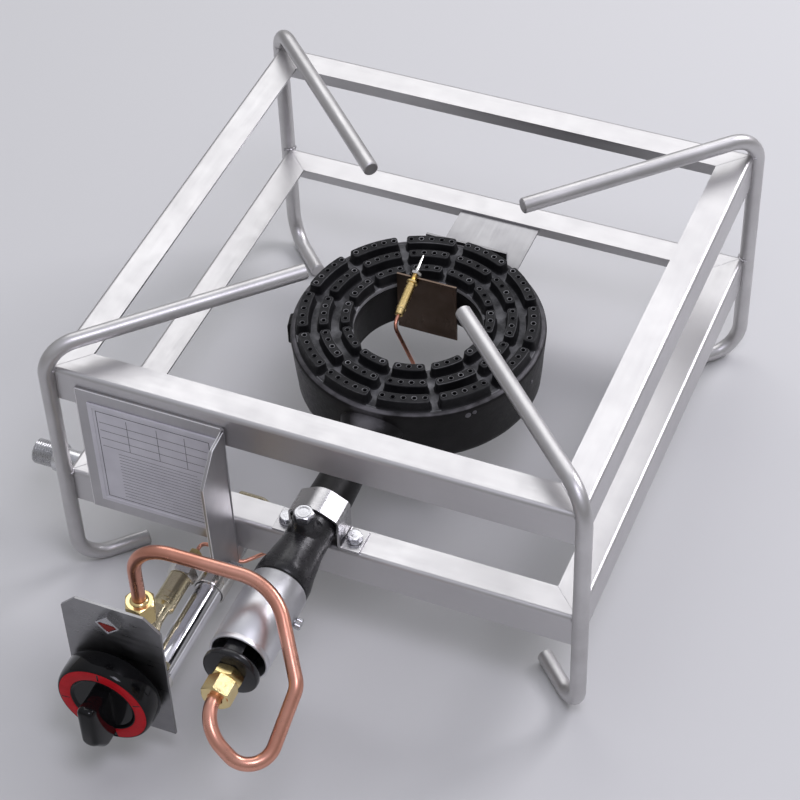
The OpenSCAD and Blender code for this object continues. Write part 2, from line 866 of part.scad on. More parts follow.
module burner_stay_screws()
{
    grip = rear_t + stay_depth - thread_out;
    color(chrome) placed() for (side = [-1, 1])
        translate([side * stay_x, rear_tab_y + rear_t + seat_gap, burner_bottom + stay_up])
            rotate([-90, 0, 0]) hex_screw(small_screw_r, small_af, small_head, grip);
}

// Mixing tube

module venturi()
{
    back = joint_y + spigot_len;
    flare_end = 8;
    throat_in = 15;
    mouth_depth = 12;
    funnel_len = 6;
    bolt_depth = 2;
    color(iron) placed() difference() {
        union() {
            y_turned(0, venturi_z) polygon([
                [0, back], [spigot_r, back], [spigot_r, joint_y - seat_gap],
                [venturi_r, joint_y - seat_gap], [venturi_r, front_y - flare_out],
                [bell_r, bell_y + flare_end], [bell_r, bell_y], [mouth_r, bell_y],
                [mouth_r, bell_end], [0, bell_end]]);
            translate([0, boss_y, venturi_z]) cylinder(r = boss_r, h = boss_rise);
        }
        y_turned(0, venturi_z) polygon([
            [0, back + over], [venturi_bore_r, back + over], [venturi_bore_r, joint_y],
            [throat_r, front_y - flare_out - throat_in],
            [mouth_in_r - carrier_t, bell_end + mouth_depth + funnel_len],
            [mouth_in_r, bell_end + mouth_depth], [mouth_in_r, bell_end - over], [0, bell_end - over]]);
        translate([0, boss_y, venturi_z + venturi_r - bolt_depth])
            cylinder(r = bolt_r + hole_gap, h = boss_rise);
    }
}

// Place and direction of the sleeve's locking screw, at the bell's mouth surface
module at_sleeve_screw()
{
    translate([0, sleeve_screw_y, venturi_z]) rotate([0, 90 - sleeve_screw_deg, 0])
        translate([0, 0, mouth_r]) children();
}

module saddle_strap()
{
    mid_r = venturi_r + strap_side_gap + strap_t / 2;
    foot_z = lower_ring_top + seat_gap + strap_t / 2;
    strap_bends = [2.5, 3, 14, 3, 2.5];
    apex_z = venturi_z + (venturi_r + seat_gap + strap_t / 2) / cos(strap_slope);
    shoulder_z = apex_z - mid_r * tan(strap_slope);
    color(steel) placed() difference() {
        translate([0, strap_y + strap_w / 2, 0]) rotate([90, 0, 0]) linear_extrude(strap_w)
            bent_strip(
                [[-strap_len / 2, foot_z], [-mid_r, foot_z], [-mid_r, shoulder_z], [0, apex_z],
                    [mid_r, shoulder_z], [mid_r, foot_z], [strap_len / 2, foot_z]],
                strap_bends, strap_t, true);
        saddle_holes(foot_z + strap_t, strap_t * 3);
    }
}

module saddle_screws()
{
    grip = strap_t + angle_t + seat_gap * 2;
    color(chrome) placed() for (side = [-1, 1])
        translate([side * strap_screw_pitch / 2, strap_y, lower_ring_top + strap_t + seat_gap * 2])
            hex_screw(screw_r, screw_af, screw_head, grip + nut_h + thread_out * 2, true, grip + seat_gap);
}

module boss_bolt()
{
    color(chrome) placed() translate([0, boss_y, venturi_z + boss_rise + seat_gap])
        hex_screw(bolt_r, bolt_af, bolt_head, boss_rise - venturi_r, false);
}

// Air sleeve and injector

module air_sleeve()
{
    color([0.78, 0.78, 0.80]) placed() difference() {
        y_cylinder(0, venturi_z, sleeve_front, sleeve_back, sleeve_r);
        y_cylinder(0, venturi_z, sleeve_front - over, sleeve_back + over, sleeve_in_r);
        at_sleeve_screw() cylinder(r = small_screw_r + run_gap, h = sleeve_t * 4);
    }
}

module air_sleeve_screw()
{
    head_r = 4.2;
    head_h = 5;
    color(chrome) placed() at_sleeve_screw() {
        translate([0, 0, seat_gap]) cylinder(r = small_screw_r, h = sleeve_t + seat_gap * 4);
        translate([0, 0, sleeve_t + seat_gap * 4]) cylinder(r = head_r, h = head_h);
    }
}

// Injector carrier: a disc, two arms and a spigot in the bell's mouth
module injector_holder()
{
    spigot_out = mouth_in_r - seat_gap;
    spigot_in = spigot_out - carrier_t;
    arm_deg = 50;
    color(black) placed() difference() {
        union() {
            y_cylinder(0, venturi_z, disc_front, disc_back, disc_r);
            y_cylinder(0, venturi_z, disc_back - over, bell_end + spigot_in_len, spigot_out);
        }
        y_cylinder(0, venturi_z, disc_back, bell_end + spigot_in_len + over, spigot_in);
        for (side = [0, 180])
            translate([0, disc_back, venturi_z]) rotate([0, side + 90, 0]) window(arm_deg);
        y_cylinder(0, venturi_z, disc_front - over, disc_back + over, fitting_r + hole_gap);
    }
}

// Opening between the carrier's arms, out to one side
module window(arm_deg)
{
    reach = disc_r * 2;
    half_angle = 90 - arm_deg / 2;
    rotate([-90, 0, 0]) linear_extrude(bell_end - disc_back - bell_rim)
        polygon([[0, 0], reach * [cos(half_angle), sin(half_angle)], [reach, reach * sin(half_angle)],
            [reach, -reach * sin(half_angle)], reach * [cos(half_angle), -sin(half_angle)]]);
}

module injector()
{
    shoulder = disc_back + jet_gap;
    jet_r = 5;
    jet_tip_r = 2.4;
    jet_body = 6;
    jet_len = 12;
    jet_end_t = 4;
    color(brass) placed() difference() {
        y_turned(0, venturi_z) polygon([
            [0, shoulder], [jet_r, shoulder], [jet_r, shoulder + jet_body],
            [jet_tip_r, shoulder + jet_len], [0, shoulder + jet_len]]);
        y_cylinder(0, venturi_z, shoulder - over, shoulder + jet_len - jet_end_t, jet_r / 2);
        y_cylinder(0, venturi_z, shoulder, shoulder + jet_len + over, jet_d / 2);
    }
}

module injector_fitting()
{
    color(brass) placed() difference() {
        union() {
            y_hexagon(0, venturi_z, nut_back + seat_gap, nut_back + seat_gap + fitting_flange, fitting_af);
            y_cylinder(0, venturi_z, disc_front - seat_gap * 2, disc_back + jet_gap - seat_gap, fitting_r);
            y_cylinder(0, venturi_z, nut_back - stub_len, disc_front - seat_gap * 2, fitting_r);
        }
        y_cylinder(0, venturi_z, nut_back - stub_len - over, disc_back + over, fitting_bore_r);
    }
}

module injector_nut()
{
    color(brass) placed() difference() {
        y_hexagon(0, venturi_z, nut_front, nut_back, fitting_af);
        y_cylinder(0, venturi_z, nut_front - over, nut_back + over, pipe_d / 2 + hole_gap);
        y_cylinder(0, venturi_z, nut_front - seat_gap, nut_front + nut_mouth_len,
            pipe_d / 2 + nut_mouth_t, pipe_d / 2 + hole_gap);
        y_cylinder(0, venturi_z, nut_back - stub_len - seat_gap, nut_back + over, fitting_r + hole_gap);
    }
}

// Copper pipe: out of the injector nut, down and to the right, back over the sleeve, down to the tap
module feed_pipe()
{
    start_y = nut_back - stub_len - pipe_start_gap;
    end_z = outlet_nut_z - outlet_nut_len / 2 + stub_len + seat_gap;
    route = concat(
        [[0, start_y, venturi_z]],
        [for (corner = pipe_corners) [0, front_y, venturi_z] + corner],
        [[tap_x, outlet_y, venturi_z + pipe_rise], [tap_x, outlet_y, end_z]]);
    color(copper) placed() difference() {
        bent_rod(route, pipe_bends, pipe_d / 2);
        bent_rod(route, pipe_bends, pipe_d / 2 - pipe_t);
        along(route[0], route[0] - route[1]) cylinder(r = pipe_d / 2 - pipe_t, h = over);
        along(route[6], route[6] - route[5]) cylinder(r = pipe_d / 2 - pipe_t, h = over);
    }
}

module outlet_nut()
{
    bottom = outlet_nut_z - outlet_nut_len / 2;
    color(brass) placed() translate([tap_x, outlet_y, 0]) difference() {
        translate([0, 0, bottom]) cylinder(r = fitting_af / 2 / cos(30), h = outlet_nut_len, $fn = 6);
        translate([0, 0, bottom - over])
            cylinder(r = pipe_d / 2 + hole_gap, h = outlet_nut_len + over * 2);
        translate([0, 0, bottom - over]) cylinder(r = outlet_r + hole_gap, h = stub_len + over);
    }
}

// Tap

// Direction from the tap's axis to the manifold tube's, and their distance
tube_deg = atan2(tube_z - tap_z, tube_x - tap_x);
tube_far = norm([tube_x - tap_x, tube_z - tap_z]);

// Moves a child to the tap's axis with +X towards the manifold tube
module to_tube(y)
{
    translate([tap_x, y, tap_z]) rotate([0, -tube_deg, 0]) children();
}

module tap_body()
{
    saddle_w = 16;
    saddle_in = 1;
    cone_end_y = plug_end + cone_gap;
    color(brass) placed() difference() {
        union() {
            y_turned(tap_x, tap_z) polygon([
                [0, tap_front], [tap_r, tap_front], [tap_r, tap_front + barrel_len],
                [neck_r, flange_end - neck_len], [neck_r, flange_end - seat_flange - neck_flare],
                [magnet_r, flange_end - seat_flange], [magnet_r, flange_end], [0, flange_end]]);
            translate([tap_x, outlet_y, tap_z])
                cylinder(r = outlet_r, h = outlet_nut_z - outlet_nut_len / 2 + stub_len - tap_z - seat_gap);
            to_tube(clamp_y) translate([0, -saddle_w / 2, -tap_r + saddle_in])
                cube([tube_far - clamp_gap, saddle_w, (tap_r - saddle_in) * 2]);
            to_tube(clamp_y) translate([tube_far - clamp_gap - foot_t, -saddle_w / 2, -clamp_half])
                cube([foot_t, saddle_w, clamp_half * 2]);
        }
        y_turned(tap_x, tap_z) polygon([
            [0, tap_front + bonnet_t], [plug_front_r + run_gap * 2, tap_front + bonnet_t],
            [plug_end_r + run_gap * 2, plug_end + seat_gap], [gas_r, cone_end_y], [gas_r, flange_end + over],
            [0, flange_end + over]]);
        y_cylinder(tap_x, tap_z, tap_front - over, tap_front + bonnet_t + over, spindle_r + run_gap);
        translate([tap_x, outlet_y, tap_z]) cylinder(r = outlet_bore_r, h = outlet_nut_z);
        y_cylinder(tube_x, tube_z, clamp_y - saddle_w, clamp_y + saddle_w, tube_r + seat_gap);
        to_tube(clamp_y) rotate([0, 90, 0]) cylinder(r = gas_r, h = tube_far);
        at_clamp_screws() translate([0, 0, -foot_t - clamp_t - over])
            cylinder(r = clamp_screw_r + hole_gap, h = foot_t + clamp_t + over * 2);
    }
}

// Places of the two clamp screws on the clamp's ears, each heading into the saddle's foot
module at_clamp_screws()
{
    to_tube(clamp_y) for (side = [-1, 1])
        translate([tube_far - clamp_gap + seat_gap * 2 + clamp_t, 0, side * (clamp_half - clamp_screw_in)])
            rotate([0, 90, 0]) children();
}

// Half ring round the far side of the manifold tube, with two flat ears on the saddle
module tap_clamp()
{
    clamp_w = 10;
    ear_x = -clamp_gap + seat_gap;
    color(chrome) placed() difference() {
        to_tube(clamp_y) translate([tube_far, 0, 0]) rotate([90, 0, 0])
            linear_extrude(clamp_w, center = true) {
                intersection() {
                    difference() {
                        circle(r = tube_r + seat_gap + clamp_t);
                        circle(r = tube_r + seat_gap);
                    }
                    translate([ear_x + clamp_t / 2, -clamp_half])
                        square([clamp_half * 2, clamp_half * 2]);
                }
                for (ear_y = [tube_r + seat_gap, -clamp_half])
                    translate([ear_x, ear_y]) square([clamp_t, clamp_half - tube_r - seat_gap]);
            }
        at_clamp_screws() cylinder(r = clamp_screw_r + hole_gap, h = clamp_t * 4, center = true);
    }
}

module tap_plug()
{
    color(brass) placed() difference() {
        y_turned(tap_x, tap_z) polygon([
            [0, plug_front], [plug_front_r, plug_front], [plug_end_r, plug_end], [0, plug_end]]);
        y_cylinder(tap_x, tap_z, plug_front - over, plug_front + spring_recess, spring_recess_r);
        translate([tap_x - blade_w / 2 - run_gap * 2, plug_front + spring_recess - over,
            tap_z - blade_t / 2 - run_gap * 2])
            cube([blade_w + run_gap * 4, blade_slot + over, blade_t + run_gap * 4]);
        y_cylinder(tap_x, tap_z, plug_front, plug_end + over, pushrod_r + run_gap);
    }
}

module tap_spindle()
{
    blade_start = plug_front + spring_recess - push_travel - seat_gap;
    blade_space = 2;
    color(steel) placed() {
        difference() {
            y_cylinder(tap_x, tap_z, shaft_end, plug_front, spindle_r);
            translate([tap_x - spindle_r, shaft_end - over, tap_z + d_flat])
                cube([spindle_r * 2, knob_depth - knob_wall, spindle_r]);
        }
        y_cylinder(tap_x, tap_z, plug_front, plug_front + collar_t, collar_r);
        y_cylinder(tap_x, tap_z, plug_front + collar_t, blade_start, stem_r);
        translate([tap_x - blade_w / 2, blade_start, tap_z - blade_t / 2])
            cube([blade_w, blade_slot - blade_space, blade_t]);
        y_cylinder(tap_x, tap_z, blade_start, valve_front - seat_gap, pushrod_r);
    }
}

module tap_spring()
{
    color(steel) placed() translate([tap_x, spring_start, tap_z]) rotate([-90, 0, 0])
        coil(spring_r, spring_end - spring_start, spring_turns);
}

module magnet_housing()
{
    color(brass) placed() difference() {
        y_cylinder(tap_x, tap_z, flange_end + seat_gap, housing_end, magnet_r);
        y_cylinder(tap_x, tap_z, flange_end, housing_end + over, magnet_r - magnet_wall);
    }
}

module magnet_valve()
{
    color(black) placed() {
        y_cylinder(tap_x, tap_z, valve_front, valve_front + valve_t, valve_r);
        y_cylinder(tap_x, tap_z, valve_front + valve_t / 2, unit_front + valve_stem_in, valve_stem_r);
    }
}

module valve_spring()
{
    color(steel) placed() translate([tap_x, valve_spring_start, tap_z]) rotate([-90, 0, 0])
        coil(valve_spring_r, valve_spring_end - valve_spring_start, spring_turns);
}

module magnet_unit()
{
    color(chrome) placed() difference() {
        union() {
            y_cylinder(tap_x, tap_z, unit_front, housing_end - seat_gap, magnet_r - magnet_wall - seat_gap);
            y_cylinder(tap_x, tap_z, housing_end - over, unit_end, unit_stub_r);
        }
        y_cylinder(tap_x, tap_z, unit_front - over, unit_front + push_travel + valve_stem_in + over,
            valve_stem_r + run_gap);
    }
}

module magnet_nut()
{
    start = housing_end + seat_gap;
    color(chrome) placed() difference() {
        y_hexagon(tap_x, tap_z, start, start + magnet_nut_len, nut_af);
        y_cylinder(tap_x, tap_z, start - over, start + magnet_nut_len + over, unit_stub_r + hole_gap);
    }
}

module lead_nut()
{
    color(brass) placed() difference() {
        y_hexagon(tap_x, tap_z, lead_nut_front, lead_nut_end, lead_nut_af);
        y_cylinder(tap_x, tap_z, lead_nut_front - over, lead_nut_end + over, lead_r + hole_gap);
    }
}

// Thermocouple

probe_at = [-probe_left, tab_back + tab_t / 2, probe_z];
probe_dir = [0, cos(probe_tilt), sin(probe_tilt)];

// Upright sheet in the burner's hole, with a foot screwed under the casting
module thermocouple_bracket()
{
    foot_w = 18;
    foot_turn = 6;
    slot_cut = 5;
    mid_z = bracket_top - tab_t / 2;
    color([0.42, 0.36, 0.32]) placed() difference() {
        union() {
            translate([-tab_left, tab_back, bracket_top])
                cube([tab_w, tab_t, base_z + tab_rise - bracket_top]);
            translate([bracket_screw_x - foot_w / 2, 0, 0]) rotate([90, 0, 90]) linear_extrude(foot_w)
                bent_strip(
                    [[tab_back + bracket_foot, mid_z], [tab_back + tab_t / 2, mid_z],
                        [tab_back + tab_t / 2, bracket_top + foot_turn]],
                    [tab_t], tab_t);
        }
        along(probe_at - probe_dir * slot_cut, probe_dir) cylinder(r = slot_r, h = slot_cut * 2);
        translate([-probe_left - slot_r, tab_back - over, probe_z])
            cube([slot_r * 2, tab_t + over * 2, tab_rise]);
        translate([bracket_screw_x, bracket_screw_y, bracket_top - tab_t - over])
            cylinder(r = small_screw_r + hole_gap, h = tab_t + over * 2);
    }
}

module bracket_screw()
{
    color(chrome) placed() translate([bracket_screw_x, bracket_screw_y, bracket_top - tab_t - seat_gap])
        rotate([180, 0, 0])
        hex_screw(small_screw_r, small_af, small_head, tab_t + cast_t - blind_wall * 1.5, false);
}

// Brass body behind the tab, with a collar against it and a threaded neck through it
module thermocouple_body()
{
    collar = 1.6;
    collar_step = 0.8;
    neck_out = 4;
    face = probe_at - probe_dir * (tab_t + probe_gap);
    color(brass) placed() difference() {
        union() {
            along(face, -probe_dir) cylinder(r = probe_r, h = probe_len);
            along(face, -probe_dir) cylinder(r = probe_r + collar_step, h = collar);
            along(face, probe_dir) cylinder(r = probe_screw_r, h = tab_t * 2 + neck_out);
        }
        along(face - probe_dir * probe_len, probe_dir)
            cylinder(r = lead_r + hole_gap, h = lead_in * 2, center = true);
    }
}

module thermocouple_nut()
{
    nut_out = 1.2;
    start = probe_at + probe_dir * (tab_t + nut_out);
    color(brass) placed() along(start, probe_dir) difference() {
        cylinder(r = probe_nut_r, h = probe_nut_t, $fn = 6);
        translate([0, 0, -over]) cylinder(r = probe_screw_r + hole_gap, h = probe_nut_t + over * 2);
    }
}

module thermocouple_tip()
{
    tip_out = 2.8;
    tip_r = 1.7;
    point_r = 0.6;
    straight = 4;
    start = probe_at + probe_dir * (tab_t + tip_out);
    color(chrome) placed() along(start, probe_dir) {
        cylinder(r = tip_r, h = straight);
        translate([0, 0, straight]) cylinder(r1 = tip_r, r2 = point_r, h = needle_len - straight - tip_out);
    }
}

// Copper lead: down through the burner's hole, under the front rail and the bracket's wing, to the tap
module thermocouple_lead()
{
    start = probe_at - probe_dir * (probe_len + tab_t + probe_gap - lead_in + seat_gap * 2);
    route = [
        start,
        start - probe_dir * lead_straight,
        [0, 0, burner_bottom] + lead_hole,
        [0, front_y, panel_bottom] + lead_inside,
        [-wing_x, front_y, panel_bottom] + lead_wing,
        [tube_x, front_y, tube_z + inlet_r] + lead_tube,
        [tap_x, front_y, tap_z] + lead_tap,
        [tap_x, lead_nut_front + seat_gap, tap_z]];
    color(copper) placed() bent_rod(route, lead_bends, lead_r);
}

// Control plate and knob

module control_plate()
{
    left = tap_x - plate_w / 2 + plate_shift;
    spindle_space = 1;
    right = left + plate_w;
    top = plate_bottom + plate_h;
    color(steel) placed() difference() {
        translate([0, plate_back, 0]) rotate([90, 0, 0]) linear_extrude(plate_t) polygon([
            [left, plate_bottom], [right, plate_bottom], [right, top - plate_chamfer],
            [right - plate_chamfer, top], [left + plate_chamfer, top], [left, top - plate_chamfer]]);
        y_cylinder(tap_x, tap_z, plate_front - over, plate_back + over, spindle_r + spindle_space);
        y_cylinder(plug_x, plug_z, plate_front - over, plate_back + over, screw_r + hole_gap);
    }
}

// Square plug with a recess in its face, its shank through the plate and a nut behind
module plate_bolt()
{
    front = plate_front - seat_gap - plug_head;
    wall = 1.6;
    color(chrome) placed() {
        difference() {
            translate([plug_x, front, plug_z]) rotate([-90, 0, 0]) rotate(plug_turn)
                translate([-plug_w / 2, -plug_w / 2, 0]) cube([plug_w, plug_w, plug_head]);
            translate([plug_x, front - over, plug_z]) rotate([-90, 0, 0]) rotate(plug_turn)
                translate([-plug_w / 2 + wall, -plug_w / 2 + wall, 0])
                cube([plug_w - wall * 2, plug_w - wall * 2, plug_recess + over]);
        }
        y_cylinder(plug_x, plug_z, front + plug_recess * 2, plate_back + nut_h + thread_out, screw_r);
        y_hexagon(plug_x, plug_z, plate_back + seat_gap, plate_back + nut_h, screw_af);
    }
}

// Grip bar's outline on the knob's face, and its narrower outline at the front
module grip(extra)
{
    end_r = grip_w / 2 + extra;
    crest_share = 0.55;
    crest_edge = 4;
    crest_bevel = 1.5;
    end_rise = 10;
    crest_half = knob_r * crest_share - grip_w / 2;
    translate([tap_x, 0, tap_z]) hull() {
        for (end = [-grip_low, grip_high])
            translate([0, knob_face + grip_sink, end]) rotate([90, 0, 0])
                cylinder(r = end_r, h = grip_sink + end_rise, $fn = 32);
        for (end = [-crest_half, crest_half])
            translate([0, knob_face - grip_h, end]) rotate([-90, 0, 0])
                cylinder(r1 = end_r - crest_bevel, r2 = end_r, h = crest_edge, $fn = 32);
    }
}

// Hollow in the knob's face for the fingers, left proud above the grip's upper end
module finger_hollow()
{
    depth = 1.5;
    fan_half = 14;
    difference() {
        y_turned(tap_x, tap_z) polygon([
            [0, knob_face - over], [hollow_r, knob_face - over], [hollow_r, knob_face],
            [hollow_r - depth, knob_face + depth], [0, knob_face + depth]
        ]);
        translate([tap_x, knob_face + grip_sink, tap_z]) rotate([90, 0, 0]) linear_extrude(grip_sink * 2)
            polygon([
                [-grip_w / 2, grip_high], [grip_w / 2, grip_high], [fan_half, mark_in_r], [-fan_half, mark_in_r]
            ]);
    }
}

module knob()
{
    pocket = knob_depth - knob_wall * 1.5;
    hub_in = 1;
    color(black) placed() difference() {
        union() {
            difference() {
                y_turned(tap_x, tap_z) {
                    translate([0, knob_face]) square([knob_r - knob_edge_r, knob_depth]);
                    translate([0, knob_face + knob_edge_r]) square([knob_r, knob_depth - knob_edge_r]);
                    translate([knob_r - knob_edge_r, knob_face + knob_edge_r]) circle(r = knob_edge_r);
                }
                difference() {
                    y_cylinder(tap_x, tap_z, knob_back - pocket, knob_back + over, knob_r - knob_wall);
                    y_cylinder(tap_x, tap_z, knob_back - pocket - over, knob_back - hub_in, hub_r);
                }
                finger_hollow();
                difference() {
                    y_cylinder(tap_x, tap_z, knob_face - over, knob_face + mark_t, mark_out_r);
                    y_cylinder(tap_x, tap_z, knob_face - over * 2, knob_face + mark_t + over, mark_in_r);
                }
            }
            grip(0);
        }
        difference() {
            y_cylinder(tap_x, tap_z, shaft_end - seat_gap, knob_back + over, spindle_r + run_gap);
            translate([tap_x - spindle_r * 2, shaft_end - over, tap_z + d_flat + run_gap])
                cube([spindle_r * 4, knob_depth - knob_wall, spindle_r * 2]);
        }
    }
}

// Coloured ring, let into the knob's face and open where the grip bar's lower end crosses it
module knob_ring()
{
    color(red) placed() difference() {
        y_cylinder(tap_x, tap_z, knob_face - seat_gap, knob_face + mark_t - seat_gap, mark_out_r - seat_gap);
        y_cylinder(tap_x, tap_z, knob_face - over, knob_face + mark_t + over, mark_in_r + seat_gap);
        grip(seat_gap);
    }
}

// Manifold

module manifold_tube()
{
    end_t = 3;
    color(chrome) placed() difference() {
        y_cylinder(tube_x, tube_z, tube_front, socket_back, tube_r);
        y_cylinder(tube_x, tube_z, tube_front + end_t, socket_back + over, tube_r - tube_t);
        to_tube(clamp_y) rotate([0, 90, 0]) cylinder(r = gas_r, h = tube_far);
    }
}

module clamp_screws()
{
    af = 5.5;
    head = 2;
    color(chrome) placed() at_clamp_screws() hex_screw(clamp_screw_r, af, head, clamp_t + foot_t, false);
}

// Socket round the tube's rear end, with an ear for the bracket's bolt
module manifold_socket()
{
    ear_x = -wing_x - panel_t - seat_gap - ear_t;
    color(brass) placed() difference() {
        union() {
            y_cylinder(tube_x, tube_z, socket_front, socket_back, socket_r);
            translate([ear_x, wing_bolt_y, wing_bolt_z]) rotate([0, 90, 0]) cylinder(r = ear_r, h = ear_t);
            translate([ear_x, wing_bolt_y - ear_r, tube_z]) cube([ear_t, ear_r * 2, wing_bolt_z - tube_z]);
        }
        y_cylinder(tube_x, tube_z, socket_front - over, socket_back + over, tube_r + hole_gap);
        translate([ear_x - over, wing_bolt_y, wing_bolt_z]) rotate([0, 90, 0])
            cylinder(r = screw_r + hole_gap, h = ear_t + over * 2);
    }
}

module inlet_elbow()
{
    bore_r = inlet_r + hole_gap;
    color(brass) placed() difference() {
        union() {
            translate([tube_x, inlet_y, tube_z]) sphere(r = elbow_r);
            y_cylinder(tube_x, tube_z, inlet_y - elbow_len, inlet_y, elbow_r);
            translate([tube_x - elbow_len, inlet_y, tube_z]) rotate([0, 90, 0])
                cylinder(r = elbow_r, h = elbow_len);
        }
        y_cylinder(tube_x, tube_z, inlet_y - elbow_len - over, inlet_y, bore_r);
        translate([tube_x - elbow_len - over, inlet_y, tube_z]) rotate([0, 90, 0])
            cylinder(r = bore_r, h = elbow_len + over);
    }
}

// Pipe from the threaded end under the left rail to the elbow
module gas_inlet_pipe()
{
    color([0.7, 0.7, 0.7]) placed() translate([inlet_x, inlet_y, tube_z]) rotate([0, 90, 0]) difference() {
        union() {
            cylinder(r = thread_r, h = thread_len);
            translate([0, 0, thread_len]) cylinder(r = shoulder_r, h = shoulder_len);
            cylinder(r = inlet_r, h = tube_x - inlet_r - over - inlet_x);
        }
        translate([0, 0, -over]) cylinder(r = inlet_r - tube_t, h = tube_x - inlet_x);
    }
}

// Short pipe from the elbow to the socket
module link_pipe()
{
    color([0.7, 0.7, 0.7]) placed() difference() {
        y_cylinder(tube_x, tube_z, socket_back + seat_gap, inlet_y - inlet_r - over, inlet_r);
        y_cylinder(tube_x, tube_z, socket_back - over, inlet_y, inlet_r - tube_t);
    }
}

// Label bracket

module label_bracket()
{
    wing = concat(
        [for (corner = wing_top) [front_y, panel_top] + corner],
        [for (corner = wing_bottom) [front_y - seat_gap, panel_bottom] + corner],
        [[panel_y, panel_top]]);
    color(steel) placed() difference() {
        union() {
            translate([-panel_left, panel_y - panel_t, panel_bottom])
                cube([panel_left - wing_x, panel_t, panel_top - panel_bottom]);
            translate([-wing_x - panel_t, 0, 0]) rotate([90, 0, 90])
                linear_extrude(panel_t) polygon(wing);
        }
        translate([-wing_x - panel_t - over, wing_bolt_y, wing_bolt_z]) rotate([0, 90, 0])
            cylinder(r = screw_r + hole_gap, h = panel_t + over * 2);
    }
}

// Plain data plate with a raised border
module label_plate()
{
    bottom = panel_bottom + label_up;
    color([0.82, 0.82, 0.86]) placed() difference() {
        translate([label_x, label_front - label_t - label_lip, bottom])
            cube([label_w, label_t + label_lip, label_h]);
        translate([label_x + label_border, label_front - label_t - label_lip - over, bottom + label_border])
            cube([label_w - label_border * 2, label_lip + over, label_h - label_border * 2]);
    }
}

module wing_bolt()
{
    head_x = -wing_x - panel_t - ear_t - seat_gap * 2;
    color(chrome) placed() translate([head_x, wing_bolt_y, wing_bolt_z]) rotate([0, -90, 0])
        hex_screw(screw_r, screw_af, screw_head, ear_t + panel_t + seat_gap * 2 + wing_bolt_end, false);
}

upper_front_rail();
upper_right_rail();
upper_back_rail();
upper_left_rail();
lower_front_rail();
lower_right_rail();
lower_back_rail();
lower_left_rail();
leg_front_left();
leg_front_right();
leg_back_left();
leg_back_right();
burner_body();
burner_head();
rear_bracket();
burner_stay_screws();
venturi();
saddle_strap();
saddle_screws();
boss_bolt();
air_sleeve();
air_sleeve_screw();
injector_holder();
injector();
injector_fitting();
injector_nut();
feed_pipe();
outlet_nut();
tap_body();
tap_plug();
tap_spindle();
tap_spring();
magnet_housing();
magnet_valve();
valve_spring();
magnet_unit();
magnet_nut();
lead_nut();
thermocouple_bracket();
bracket_screw();
thermocouple_body();
thermocouple_tip();
thermocouple_nut();
thermocouple_lead();
control_plate();
plate_bolt();
knob();
knob_ring();
manifold_tube();
tap_clamp();
clamp_screws();
manifold_socket();
inlet_elbow();
gas_inlet_pipe();
link_pipe();
label_bracket();
label_plate();
wing_bolt();
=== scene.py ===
import math

import bmesh
import bpy
from mathutils import Matrix, Vector, noise


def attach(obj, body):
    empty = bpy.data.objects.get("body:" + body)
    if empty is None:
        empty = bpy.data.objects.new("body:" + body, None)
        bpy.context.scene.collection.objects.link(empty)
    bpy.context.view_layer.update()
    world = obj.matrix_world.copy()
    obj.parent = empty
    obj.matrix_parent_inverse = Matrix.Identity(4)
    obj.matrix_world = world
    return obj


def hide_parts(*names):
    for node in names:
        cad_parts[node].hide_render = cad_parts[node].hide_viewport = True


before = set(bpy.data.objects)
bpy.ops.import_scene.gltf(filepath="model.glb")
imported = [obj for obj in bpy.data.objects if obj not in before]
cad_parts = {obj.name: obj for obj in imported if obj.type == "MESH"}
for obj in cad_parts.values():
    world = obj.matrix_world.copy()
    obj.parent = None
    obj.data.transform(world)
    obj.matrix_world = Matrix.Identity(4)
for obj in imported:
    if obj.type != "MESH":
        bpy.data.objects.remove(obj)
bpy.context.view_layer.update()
scene = bpy.context.scene
# noise_vector takes its offsets from the clock unless a seed is set
noise.seed_set(1)

# Lengths are in millimetres from the burner's middle on the floor, as in the part's source.
MM = 0.001
ORIGIN = Vector((27.25, 94.15, 0.0))
TO_ROW = Matrix.Scale(MM, 4) @ Matrix.Translation(ORIGIN)

FRONT_Y = -200.0  # outer face of the rings' front rails
UPPER_TOP, LOWER_TOP = 211.0, 104.5  # tops of the two rings
BASE_Z = 141.6  # top of the burner's ring plate
CHAMBER_Z = 102.1  # underside of its chamber
SKIRT_Z = 93.6  # lower edge of its skirt
TUBE_Z = 121.1  # axis of the mixing tube, at X = 0
TAP_X, TAP_Z, TAP_FRONT = -93.0, 67.0, -334.9  # axis and front of the tap
KNOB_BACK, KNOB_FACE = -342.0, -360.0
RUN_X, RUN_Z = -75.0, 51.0  # axis of the manifold tube


# Shapes

def unit(v):
    return Vector(v).normalized()


def moved(shape, matrix):
    points, faces = shape
    return [matrix @ Vector(p) for p in points], faces


def shift(shape, x, y, z):
    return moved(shape, Matrix.Translation((x, y, z)))


def joined(*shapes):
    points, faces = [], []
    for more, loops in shapes:
        base = len(points)
        points += list(more)
        faces += [tuple(i + base for i in f) for f in loops]
    return points, faces


def arc(x, y, r, degrees):
    """Points of an arc about x and y, one for each angle."""
    return [(x + r * math.cos(math.radians(a)), y + r * math.sin(math.radians(a))) for a in degrees]


def spin(angle, axis="Z"):
    return Matrix.Rotation(angle, 4, axis)


def circle(r, h, count, x=0.0, y=0.0):
    """Points of a level circle about x and y, at height h."""
    turns = [2 * math.pi * i / count for i in range(count)]
    return [(x + r * math.cos(a), y + r * math.sin(a), h) for a in turns]


def band(a, b):
    """Faces between two closed rows of the same length."""
    n = len(a)
    return [(a[i], a[(i + 1) % n], b[(i + 1) % n], b[i]) for i in range(n)]


